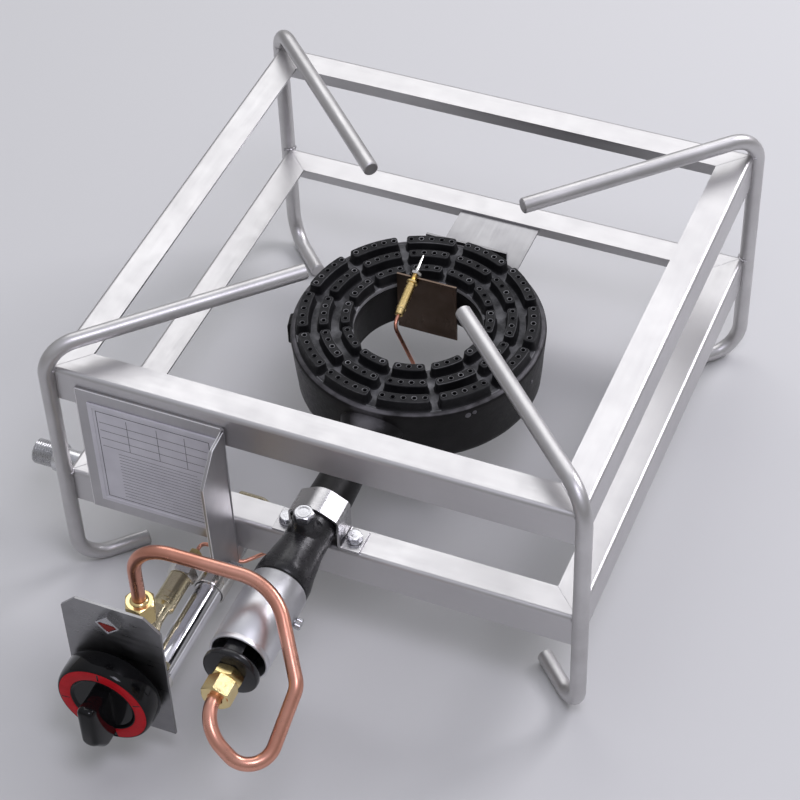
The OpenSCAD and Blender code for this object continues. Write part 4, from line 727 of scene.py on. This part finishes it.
piece("mixing_tube_casting", joined((lumpy, tube_shape[1]), boss), tube_iron, ("venturi",),
      sharp=40.0)

# Saddle strap
STRAP_Y, STRAP_Z = -188.6, 105.6
slope = math.radians(29)
apex = TUBE_Z + 17.6 / math.cos(slope)
shoulder = apex - 18.5 * math.tan(slope)
strap_line = bend_line([(-34, STRAP_Z, 0), (-18.5, STRAP_Z, 0), (-18.5, shoulder, 0), (0, apex, 0),
                        (18.5, shoulder, 0), (18.5, STRAP_Z, 0), (34, STRAP_Z, 0)], [2.5, 3, 14, 3, 2.5], 9.0)


def thick_line(line, t):
    """The outline of a sheet of thickness t along a flat line of points."""
    left, right = [], []
    for i, p in enumerate(line):
        d = (line[min(i + 1, len(line) - 1)] - line[max(i - 1, 0)]).normalized()
        n = Vector((-d.y, d.x, 0))
        left.append(p + n * t / 2)
        right.append(p - n * t / 2)
    return [(p.x, p.y) for p in left + right[::-1]]


strap = moved(prism(thick_line(strap_line, 2.0), -11, 11),
              Matrix.Translation((0, STRAP_Y, 0)) @ spin(math.radians(90), "X"))
piece("strap", strap, strap_steel, ("saddle_strap",), sharp=28.0, edge=0.35)

screws = []
for side in (-1, 1):
    parts = [washer(6.0, 3.1, 0, 1.2), moved(hexagon(10, 1.25, 5.2, flat_base=True), spin(0.4 * side)),
             lathe([(0, 4.9), (2.2, 4.9), (2.6, 5.25), (0, 5.55)], 24), thread(3.0, 1.0, -11.2, 1.3, 0.5),
             hexagon(10, -9.3, -4.3, 3.0)]
    screws.append(shift(joined(*parts), side * 26.5, STRAP_Y, STRAP_Z + 1.1))
piece("strap_screws", joined(*screws), zinc, ("saddle_screws",))

bolt = [moved(hexagon(13, 0.0, 5.0, flat_base=True), spin(0.25)),
        lathe([(0, 4.9), (4.6, 4.9), (5.2, 5.3), (4.9, 5.3), (3.6, 5.0), (0, 4.95)], 36),
        thread(4.0, 1.25, -8.6, 0.2, 0.6)]
piece("boss_screw", shift(joined(*bolt), 0, BOSS_Y, TUBE_Z + 25.1), zinc, ("boss_bolt",))

# Air sleeve with its locking screw
sleeve = moved(lathe([(20.0, -325.5), (20.4, -326), (21.3, -326), (21.8, -325.4), (21.8, -322.2),
                      (21.7, -322.0), (21.7, -321.6), (21.8, -321.4), (21.8, -262.0), (21.3, -261.0),
                      (20.5, -261.0), (20.0, -261.5)], 128, closed=True), TUBE_AXIS)
piece("sleeve_shell", sleeve, aluminium, ("air_sleeve",), body="sleeve", sharp=28.0)
out_x, out_z = arc(0, 0, 1, [-14])[0]
knurled = [arc(0, 0, 4.2 if i % 2 else 3.95, [7.5 * i])[0] for i in range(48)]
screw = [prism(knurled, 22.6, 26.4),
         lathe([(0, 22.1), (3.2, 22.1), (3.9, 22.7), (3.9, 26.2), (3.4, 27.0), (1.2, 27.05), (0, 26.8)], 32),
         lathe([(0, 20.0), (2.5, 20.0), (2.5, 22.2), (0, 22.2)], 24)]
outward = along((0, -280, TUBE_Z), (out_x, 0, out_z))
piece("sleeve_thumbscrew", moved(joined(*screw), outward), zinc, ("air_sleeve_screw",),
      body="sleeve")


# Injector carrier: disc, two arms and spigot
def sector(r_in, r_out, low, high, start, stop, steps=14):
    """A curved block about Z, from angle start to stop in degrees."""
    points = []
    for i in range(steps + 1):
        a = math.radians(start + (stop - start) * i / steps)
        for r, h in ((r_in, low), (r_out, low), (r_out, high), (r_in, high)):
            points.append((r * math.cos(a), r * math.sin(a), h))
    return points, bands(0, 4, steps + 1) + [(3, 2, 1, 0), tuple(steps * 4 + k for k in range(4))]


disc = lathe([(6.7, -340.0), (18.6, -340.0), (20.0, -339.4), (20.5, -338.0), (20.5, -335.8), (19.8, -334.4),
              (18.4, -334.0), (6.7, -334.0)], 96, closed=True)
spigot = lathe([(14.6, -302.6), (17.0, -302.6), (17.0, -290.6), (16.6, -290.0), (14.9, -290.0),
                (14.6, -290.4)], 96, closed=True)
arms = [sector(14.6, 17.0, -334.6, -302.0, 90 + s - 25, 90 + s + 25) for s in (0, 180)]
piece("injector_carrier", moved(joined(disc, spigot, *arms), TUBE_AXIS), gloss_black,
      ("injector_holder",), sharp=35.0, edge=0.25)

jet = lathe([(0, -333.0), (4.4, -333.0), (5.0, -332.4), (5.0, -327.4), (4.4, -327.0), (2.5, -321.4),
             (2.2, -321.0), (0.8, -321.0), (0.8, -323), (0, -323)], 32)
piece("jet", moved(jet, TUBE_AXIS), brass, ("injector",))
fitting = [hexagon(20, -348.1, -340.1), thread(6.4, 1.0, -355.2, -348.0, 0.5),
           lathe([(0, -340.2), (6.4, -340.2), (6.4, -333.2), (0, -333.2)], 40)]
piece("fitting", moved(joined(*fitting), TUBE_AXIS @ spin(-0.05)), brass, ("injector_fitting",))
pipe_nut = hexagon(20, -363.2, -348.3, 5.2)
piece("pipe_nut", moved(pipe_nut, TUBE_AXIS @ spin(0.44)), brass, ("injector_nut",))

# Feed pipe
OUTLET_Y = TAP_FRONT + 41
feed = bend_line([(0, -355.8, TUBE_Z), (0, -386, TUBE_Z + 2), (44, -395, TUBE_Z - 37), (50, -339, TUBE_Z + 8),
                  (12, -285, TUBE_Z + 37), (TAP_X, OUTLET_Y, TUBE_Z + 46), (TAP_X, OUTLET_Y, 95.1)],
                 [25, 18, 15, 44, 27], 3.5)
piece("copper_feed_pipe", tube(feed, 5.0, 40), copper, ("feed_pipe",), sharp=32.0)

outlet = hexagon(20, 88.0, 106.0, 5.2)
outlet = shift(moved(outlet, spin(-0.05)), TAP_X, OUTLET_Y, 0)
piece("outlet_pipe_nut", outlet, brass, ("outlet_nut",))
olive = lathe([(5.05, 105.2), (7.6, 105.2), (6.6, 106.6), (5.6, 107.4), (5.05, 107.6)], 48, closed=True)
piece("outlet_olive", shift(olive, TAP_X, OUTLET_Y, 0), brass, sharp=40.0)

# Tap: barrel, neck, flange, outlet and the saddle on the manifold tube
barrel = lathe([(0, -334.4), (10.4, -334.9), (11.0, -334.3), (11.0, -318.6), (10.75, -318.3),
                (10.75, -317.8), (11.0, -317.5), (11.0, -306.6), (10.75, -306.3), (10.75, -305.8),
                (11.0, -305.5), (11.0, -300.2), (10.5, -299.7), (9.4, -295.0), (6.3, -279.2), (6.2, -278.9),
                (6.2, -268.0), (6.9, -267.0), (8.2, -265.9), (8.5, -265.6), (8.5, -262.2), (8.2, -261.9),
                (0, -261.9)], 72)
stub = lathe([(0, 60), (8.6, 76), (8.2, 77.5), (7.5, 78.3), (7.5, 89.4), (7.4, 96.7), (0, 96.7)], 48)
stub = shift(stub, TAP_X, OUTLET_Y, 0)
tube_far = math.hypot(RUN_X - TAP_X, RUN_Z - TAP_Z)
CLAMP_Y = TAP_FRONT + 16
to_tube = Matrix.Translation((TAP_X, CLAMP_Y, TAP_Z)) @ spin(math.atan2(TAP_Z - RUN_Z, RUN_X - TAP_X), "Y")
saddle = moved(block(6, -8, -9.5, tube_far - 10.9, 8, 9.5), to_tube)
feet = [moved(block(tube_far - 7, -8, z, tube_far - 2, 8, z + 8.1), to_tube) for z in (-19, 10.9)]
piece("tap_casting", joined(moved(barrel, TAP_AXIS), stub), pale_brass, ("tap_body",),
      sharp=24.0)
piece("tap_saddle", joined(saddle, *feet), pale_brass, edge=0.6)
housing = lathe([(6.6, -261.8), (8.2, -261.8), (8.5, -261.5), (8.5, -257.0), (8.3, -256.8), (8.3, -256.4),
                 (8.5, -256.2), (8.5, -238.1), (8.2, -237.8), (6.6, -237.8)], 72, closed=True)
piece("magnet_barrel", moved(housing, TAP_AXIS), pale_brass, ("magnet_housing",), sharp=24.0)
big_nut = moved(hexagon(19, -237.7, -228.7, 4.2), TAP_AXIS @ spin(0.2))
piece("magnet_hexagon", big_nut, nickel, ("magnet_nut",))
small_nut = [hexagon(9, -217.2, -210.8, 1.7), lathe([(1.7, -209.2), (2.6, -209.2), (3.2, -209.8),
             (3.2, -211.0), (1.7, -211.0)], 32, closed=True)]
piece("lead_hexagon", moved(joined(*small_nut), TAP_AXIS), brass, ("lead_nut",))
dress("magnet_unit", nickel)

# Manifold tube, socket, elbow, pipes
run = lathe([(0, -334.7), (9.9, -334.7), (10.65, -334.0), (10.65, -205.2), (10.4, -205.0), (0, -205.0)], 96)
piece("manifold_run", moved(run, on_y(RUN_X, RUN_Z)), chrome, ("manifold_tube",))
dress("tap_clamp", nickel, 0.25)
dress("clamp_screws", zinc, 0.15)
socket = moved(lathe([(10.9, -229.6), (11.3, -230.0), (12.1, -230.0), (12.5, -229.6), (12.5, -205.4),
                      (12.1, -205.0), (11.3, -205.0), (10.9, -205.4)], 72, closed=True), on_y(RUN_X, RUN_Z))
EAR_X = -68.1
LUG_Y, LUG_Z = FRONT_Y - 17.5, 74
ear_line = [(LUG_Y - 7, 51.5), (LUG_Y + 7, 51.5)] + arc(LUG_Y, LUG_Z, 7, range(0, 181, 15))
ear = moved(prism(ear_line, EAR_X, EAR_X + 4), SIDEWAYS)
piece("tube_socket", joined(socket, ear), nickel, ("manifold_socket",), edge=0.4)
dress("inlet_elbow", pale_brass)
dress("link_pipe", zinc_pipe)
inlet_shoulder = lathe([(0, -244.2), (11.0, -244.2), (11.5, -243.7), (11.5, -238.4), (11.0, -237.9),
                        (0, -237.9)], 64)
inlet_run = lathe([(0, -238.4), (8.5, -238.4), (8.5, -84.6), (0, -84.6)], 64)
onto_x = Matrix.Translation((0, -148, RUN_Z)) @ spin(math.radians(90), "Y")

# The inlet's mouth is open: threaded outside, its cap's faces replaced by a smooth bore
mouth_points, mouth_faces = thread(10.0, 2.0, -262.0, -244.0, 1.2, 64, 10)
mouth_faces = [f for f in mouth_faces if 0 not in f]
rim = len(mouth_points)
for r, h in ((7.4, -262.0), (7.0, -261.6), (7.0, -246.0)):
    mouth_points += circle(r, h, 64)
mouth_faces += band([1 + i for i in range(64)], [rim + i for i in range(64)])
mouth_faces += bands(rim, 64, 3) + [tuple(rim + 128 + i for i in range(64))]
inlet = joined((mouth_points, mouth_faces), inlet_shoulder, inlet_run)
piece("inlet_pipe", moved(inlet, onto_x), zinc_pipe, ("gas_inlet_pipe",), sharp=32.0)

# Control plate and its square plug
dress("control_plate", shaded_plate_steel, 0.25)
PLUG_X, PLUG_Z, PLUG_Y = -90.0, 134.0, -337.1
plug_turn = Matrix.Translation((PLUG_X, 0, PLUG_Z)) @ spin(math.radians(-42), "Y")


def rectangles(rows, x0, z0, x1, z1):
    """Corners of rectangles one before the other. Each row is an inset from x0, z0, x1 and z1, and a Y."""
    return [(x, y, z) for inset, y in rows
            for x, z in ((x0 + inset, z0 + inset), (x1 - inset, z0 + inset), (x1 - inset, z1 - inset),
                         (x0 + inset, z1 - inset))]


PLUG_HALF, FILL = 6.5, 5.0
plug_rows = ((0, PLUG_Y), (0, PLUG_Y - 4.8), (0.2, PLUG_Y - 5.0), (1.2, PLUG_Y - 5.0), (1.4, PLUG_Y - 4.0))
square = (rectangles(plug_rows, -PLUG_HALF, -PLUG_HALF, PLUG_HALF, PLUG_HALF),
          bands(0, 4, 5) + [(0, 1, 2, 3), (16, 17, 18, 19)])
back = joined(thread(3.0, 1.0, -335.4, -328.9, 0.45), hexagon(10, -334.9, -330.0, 3.0))
piece("square_plug", joined(moved(square, plug_turn), moved(back, on_y(PLUG_X, PLUG_Z))), zinc,
      ("plate_bolt",), sharp=25.0, edge=0.3)
# The red wax covers only the lower half of the recess; the upper half is left bare zinc for the bright
# reflection there: a painted reflection.
wax = moved(prism([(-FILL, -FILL), (FILL, -FILL), (-FILL, FILL)], 0, 0.5), facing(0, PLUG_Y - 4.5, 0))
piece("plug_wax", moved(wax, plug_turn), recess_red, edge=0.1, sharp=32.0)

# Knob: skirt, grip bar and coloured ring
KNOB_R = 36.5
HOLLOW_R, HOLLOW_T = 24.4, 1.5
skirt_line = [(r, KNOB_FACE + h) for r, h in (
    (0, HOLLOW_T), (HOLLOW_R - 1.9, HOLLOW_T), (HOLLOW_R - 1.3, HOLLOW_T - 0.2), (HOLLOW_R - 0.2, 0.2),
    (HOLLOW_R + 0.1, 0), (24.9, 0.05), (25.1, 0.5), (33.9, 0.5), (34.0, 0))]
skirt_line += [(34.0 + x * 2.5, KNOB_FACE + 8 + y * 8) for x, y in arc(0, 0, 1, range(-80, 1, 10))]
skirt_line += [(r, KNOB_BACK + h) for r, h in (
    (KNOB_R, -1), (KNOB_R - 0.3, -0.3), (KNOB_R - 1, 0), (33.0, 0), (32.5, -0.5), (32.5, -12), (9, -12),
    (9, -1), (4.2, -1), (4.2, -6), (0, -6))]
knob_skirt = moved(lathe(skirt_line, 128), TAP_AXIS)


def bar_outline(low, high, half, count=16):
    """The grip's outline at one height: straight sides, a round lower end and a flatter upper one."""
    turns = [180 * k / count for k in range(count + 1)]
    flatter = half * 0.7
    out = [(half * x, high - flatter + flatter * max(y, 0.0) ** 0.8) for x, y in arc(0, 0, 1, turns)]
    return out + arc(0, low + half, half, [180 + a for a in turns])


# Height above the face, lower end, upper end and half width of the grip
GRIP = ((-2.0, -33.5, 17.0, 7.6), (-1.2, -33.5, 17.0, 7.6), (-0.4, -33.5, 17.0, 7.2),
        (1.0, -33.5, 17.0, 7.0), (6.0, -33.5, 17.0, 7.0), (10.0, -33.2, 17.2, 7.0), (12.5, -31.7, 17.7, 7.0),
        (15.0, -28.8, 18.5, 6.95), (18.0, -24.6, 19.3, 6.8), (20.5, -21.3, 19.6, 6.5),
        (22.3, -19.3, 19.2, 5.9), (23.4, -17.6, 18.2, 4.9), (23.9, -15.6, 16.6, 3.5))
grip_points = [Vector((TAP_X + x, KNOB_FACE - up, TAP_Z + z)) for up, low, high, half in GRIP
               for x, z in bar_outline(low, high, half)]
n = len(grip_points) // len(GRIP)
last = (len(GRIP) - 1) * n
grip_faces = bands(0, n, len(GRIP)) + [tuple(range(n - 1, -1, -1)), tuple(last + i for i in range(n))]
fan = [(-6.5, 9.0), (6.5, 9.0), (7.0, 14.0), (8.2, 17.0), (10.2, 19.4), (12.6, 20.9)]
fan += arc(0, 0, HOLLOW_R + 0.1, range(62, 119, 7))
fan += [(-x, z) for x, z in reversed(fan[2:6])]
shoulder = moved(prism(fan, 0, 1.6), facing(TAP_X, KNOB_FACE - 0.02, TAP_Z))
piece("knob_body", joined(knob_skirt, (grip_points, grip_faces)), knob_black, ("knob",),
      body="knob_set", sharp=40.0)
piece("knob_shoulder", shoulder, knob_black, body="knob_set", edge=0.4, sharp=32.0)

ring_points, ring_faces = [], []
RING_STEPS = 96
for i in range(RING_STEPS + 1):
    a = math.radians(-75 + 330 * i / RING_STEPS)
    for r, y in ((25.2, 0.5), (25.3, -0.02), (25.6, -0.1), (33.4, -0.1), (33.7, -0.02), (33.8, 0.5)):
        ring_points.append((TAP_X + r * math.cos(a), KNOB_FACE + y, TAP_Z + r * math.sin(a)))
for i in range(RING_STEPS):
    for k in range(i * 6, i * 6 + 5):
        ring_faces.append((k, k + 6, k + 7, k + 1))
ring_faces += [tuple(range(6)), tuple(RING_STEPS * 6 + k for k in range(5, -1, -1))]
piece("coloured_ring", (ring_points, ring_faces), mark_red, ("knob_ring",), body="knob_set")
ticks = []
for deg, wide in ((90, 1.2), (188, 0.8), (22, 0.8)):
    tick = block(26.5, KNOB_FACE - 0.18, -wide / 2, 33.0, KNOB_FACE - 0.02, wide / 2)
    ticks.append(moved(tick, Matrix.Translation((TAP_X, 0, TAP_Z)) @ spin(math.radians(-deg), "Y")))
piece("ring_ticks", joined(*ticks), knob_black, body="knob_set", edge=0.05, sharp=32.0)

# Tap's inner works
for node, material in (("tap_plug", brass), ("tap_spindle", sheet_steel), ("tap_spring", spring_steel),
                       ("valve_spring", spring_steel), ("magnet_valve", rubber)):
    dress(node, material)

# Thermocouple
TILT = math.radians(18)
probe_dir = Vector((0, math.cos(TILT), math.sin(TILT)))
probe_at = Vector((-16.5, 32.75, 155.6))
face = probe_at - probe_dir * 2.9
body = lathe([(0, 0), (4.1, 0), (4.4, 0.3), (4.4, 1.7), (4.1, 2.0), (3.3, 2.1), (3.3, 4.6), (3.6, 5.0),
              (3.6, 23.6), (3.9, 24.0), (3.9, 25.4), (3.6, 25.8), (3.2, 30.2), (2.4, 31.0), (0, 31.0)], 40)
piece("probe_body", joined(moved(body, along(face, -probe_dir)),
                           moved(thread(2.4, 0.75, -0.5, 7.0, 0.3, 32), along(face, probe_dir))),
      probe_brass, ("thermocouple_body",), sharp=28.0)
piece("probe_nut", moved(hexagon(7.6, 0, 2.5, 2.6), along(probe_at + probe_dir * 2.7, probe_dir)), nickel,
      ("thermocouple_nut",))
needle = lathe([(0, 0), (1.7, 0), (1.7, 4.0), (1.45, 5.0), (0.75, 16.2), (0.5, 17.0), (0, 17.2)], 28)
piece("probe_needle", moved(needle, along(probe_at + probe_dir * 4.3, probe_dir)), probe_steel,
      ("thermocouple_tip",))
dress("thermocouple_bracket", tinted_steel, 0.2)
dress("bracket_screw", zinc, 0.2)
start = probe_at - probe_dir * 30.1
lead_line = bend_line([start, start - probe_dir * 13, (3, -10, 100.1), (-44, -184, 61), (-62, -201, 57.5),
                       (-80, -199, 66), (TAP_X, -201, TAP_Z), (TAP_X, -217.1, TAP_Z)],
                      [8, 12, 14, 8, 7, 4.5], 7.0)
piece("copper_lead", tube(lead_line, 1.5, 20), copper_lead, ("thermocouple_lead",), sharp=32.0)

# Rear bracket and its screws
dress("rear_bracket", rear_sheet, 0.3)
stays = []
for side in (-1, 1):
    at = on_y(side * STAY_X, STAY_Z) @ Matrix.Translation((0, 0, 102.3))
    stays += [moved(hexagon(8, 1.2, 4.2, flat_base=True), at), moved(washer(6.0, 2.6, 0, 1.2), at),
              moved(thread(2.5, 0.8, -11.2, 1.3, 0.4), at)]
piece("stay_screws", joined(*stays), zinc, ("burner_stay_screws",))

# Label bracket: the panel and its wing as one bent sheet
PANEL_Y = -200.1
P_LOW, P_TOP = 77.0, 200.0
RIGHT = -62.0
BEND_R = 2.6


def mid_sheet():
    """The bracket's middle surface: a panel, a bend and the wing."""
    points, faces = [], []
    mid_y = PANEL_Y - 1.0
    mid_x = RIGHT - 1.0
    line = [(x, mid_y) for x in (-180.0, -140.0, -100.0, mid_x - BEND_R)]
    line += arc(mid_x - BEND_R, mid_y - BEND_R, BEND_R, range(75, -1, -15))
    for x, y in line:
        points += [Vector((x, y, P_LOW)), Vector((x, y, P_TOP))]
    for i in range(len(line) - 1):
        faces.append((2 * i, 2 * i + 2, 2 * i + 3, 2 * i + 1))
    last = 2 * len(line) - 2
    outline = [(mid_x, -222.0, P_TOP - 2), (mid_x, -241.5, P_TOP - 23), (mid_x, -238.6, P_LOW + 16),
               (mid_x, -208.6, P_LOW - 19), (mid_x, -204.2, P_LOW - 15.5)]
    at = len(points)
    points += [Vector(p) for p in outline]
    faces.append((last, last + 1, *range(at, at + 5)))
    return points, faces


bracket = piece("label_sheet", mid_sheet(), sheet_steel, ("label_bracket",), sharp=25.0)
solid = bracket.modifiers.new("thick", "SOLIDIFY")
solid.thickness = 2.0 * MM
solid.offset = 0.0
soften(bracket, 0.35)
# Thin bright bars along the panel's top and left edges and along both faces of the wing's edge: painted
# highlights where the sheet edges catch the light.
edge_y = PANEL_Y - 1.9
edge_highlight_lines = [tube([(-179.5, edge_y, P_TOP - 0.25), (RIGHT - 3.4, edge_y, P_TOP - 0.25)], 0.45, 8),
             tube([(-179.8, edge_y, P_TOP - 0.5), (-179.8, edge_y, P_LOW + 0.5)], 0.35, 8)]
for x in (RIGHT - 1.85, RIGHT - 0.15):
    wing_edge = ((-204.5, P_TOP - 0.4), (-221.7, P_TOP - 2.3), (-241.1, P_TOP - 23.1), (-238.3, P_LOW + 16),
                 (-208.6, P_LOW - 18.6))
    edge_highlight_lines.append(tube([(x, y, z) for y, z in wing_edge], 0.42, 8))
piece("bracket_edge_highlights", joined(*edge_highlight_lines), edge_highlight_steel, sharp=60.0)
tab = prism([(-203.0, 76.2), (-203.0, 62.0), (-191.1, 66.0), (-198.2, 76.2)], RIGHT - 2, RIGHT)
piece("wing_foot", moved(tab, SIDEWAYS), sheet_steel, sharp=25.0, edge=0.3)

# Plain ruled label: a plate with a raised border, a thin frame and form rules
LX0, LZ0, LW, LH = -171.0, 88.0, 102.0, 101.0
L_FACE = -203.5
plate_rows = ((0, -202.2), (0, L_FACE + 0.25), (0.25, L_FACE), (3.6, L_FACE), (4.0, L_FACE + 0.35),
              (4.2, L_FACE + 0.5))
plate_points = rectangles(plate_rows, LX0, LZ0, LX0 + LW, LZ0 + LH)
plate_faces = bands(0, 4, 6) + [(0, 3, 2, 1), (20, 21, 22, 23)]
piece("label_sheet_plate", (plate_points, plate_faces), label_face, ("label_plate",),
      sharp=25.0)

rules = []
y0, y1 = L_FACE + 0.42, L_FACE + 0.52


def rule(x, z, wide, high):
    rules.append(block(LX0 + x, y0, LZ0 + z, LX0 + x + wide, y1, LZ0 + z + high))


for x, z, wide, high in ((6, 6, LW - 12, 0.5), (6, LH - 6.5, LW - 12, 0.5), (6, 6, 0.5, LH - 12),
                         (LW - 6.5, 6, 0.5, LH - 12)):
    rule(x, z, wide, high)
for z in (84, 76, 68, 60):
    rule(8, z, LW - 16, 0.35)
for x in (30, 54, 76):
    rule(x, 60, 0.35, 32)
for k in range(15):
    rule(20, 10 + k * 3.2, LW - 29 - (k * 7 % 11), 0.3)
piece("label_rules", joined(*rules), label_ink, sharp=32.0)

# Bolt through the wing, its threaded end on the right
bolt = [hexagon(10, 0, 4, flat_base=True), thread(3.0, 1.0, -16.2, 0.3, 0.5)]
at = Matrix.Translation((EAR_X - 0.1, LUG_Y, LUG_Z)) @ spin(math.radians(-90), "Y")
piece("wing_screw", moved(joined(*bolt), at), zinc, ("wing_bolt",))


# Stage

floor_material, _, floor_shader = new_material("pale_floor")
put(floor_shader, {"Base Color": (0.60, 0.60, 0.60, 1), "Roughness": 0.9, "Specular IOR Level": 0.1})
floor_mesh = bpy.data.meshes.new("floor")
FLOOR_HALF, FLOOR_Z = 6, -0.0002
floor_mesh.from_pydata([(-FLOOR_HALF, -FLOOR_HALF, FLOOR_Z), (FLOOR_HALF, -FLOOR_HALF, FLOOR_Z),
                        (FLOOR_HALF, FLOOR_HALF, FLOOR_Z), (-FLOOR_HALF, FLOOR_HALF, FLOOR_Z)],
                       [], [(0, 1, 2, 3)])
floor_mesh.materials.append(floor_material)
floor = into_scene("floor", floor_mesh)

world = bpy.data.worlds.new("studio")
scene.world = world
world.use_nodes = True
tree = world.node_tree
back_light = tree.nodes["Background"]
direction = tree.nodes.new("ShaderNodeTexCoord")
apart = tree.nodes.new("ShaderNodeSeparateXYZ")
tree.links.new(direction.outputs["Generated"], apart.inputs[0])
sky = mixed(tree, spread(tree, apart.outputs["Z"], 0, 1, -0.1, 0.9), (0.26, 0.25, 0.24), (0.56, 0.57, 0.62))
tree.links.new(sky, back_light.inputs["Color"])
put(back_light, {"Strength": 1.0})


def lamp(name, place, target, size, power, colour=(1, 1, 1)):
    data = bpy.data.lights.new(name, "AREA")
    data.shape = "RECTANGLE"
    data.size, data.size_y = size
    data.energy = power
    data.color = colour
    obj = into_scene(name, data)
    obj.location = place
    obj.rotation_euler = (Vector(target) - Vector(place)).to_track_quat("-Z", "Y").to_euler()


lamp("softbox", (-0.82, 1.85, 2.1), (0, 0.0, 0.12), (2.2, 1.7), 19)
lamp("key", (1.0, 1.4, 1.45), (0, -0.05, 0.12), (0.8, 0.8), 20, (0.95, 0.93, 1.0))
lamp("overhead", (0.62, -0.62, 1.95), (-0.05, -0.2, 0.1), (0.6, 0.6), 10, (0.88, 0.86, 1.0))

camera_data = bpy.data.cameras.new("camera")
camera_data.sensor_width = 36.0
camera_data.lens = 105.94
camera = into_scene("camera", camera_data)
az, el, roll = math.radians(24.03), math.radians(45.42), math.radians(-2.38)
view = Vector((-math.sin(az) * math.cos(el), math.cos(az) * math.cos(el), -math.sin(el)))
right = view.cross(Vector((0, 0, 1))).normalized()
up = right.cross(view)
right2 = right * math.cos(roll) + up * math.sin(roll)
up2 = up * math.cos(roll) - right * math.sin(roll)
turn = Matrix((right2, up2, -view)).transposed().to_4x4()
camera.matrix_world = Matrix.Translation((0.53938, -1.09436, 1.37407)) @ turn
camera_data.clip_end = 50
scene.camera = camera
scene.view_settings.view_transform = "Standard"
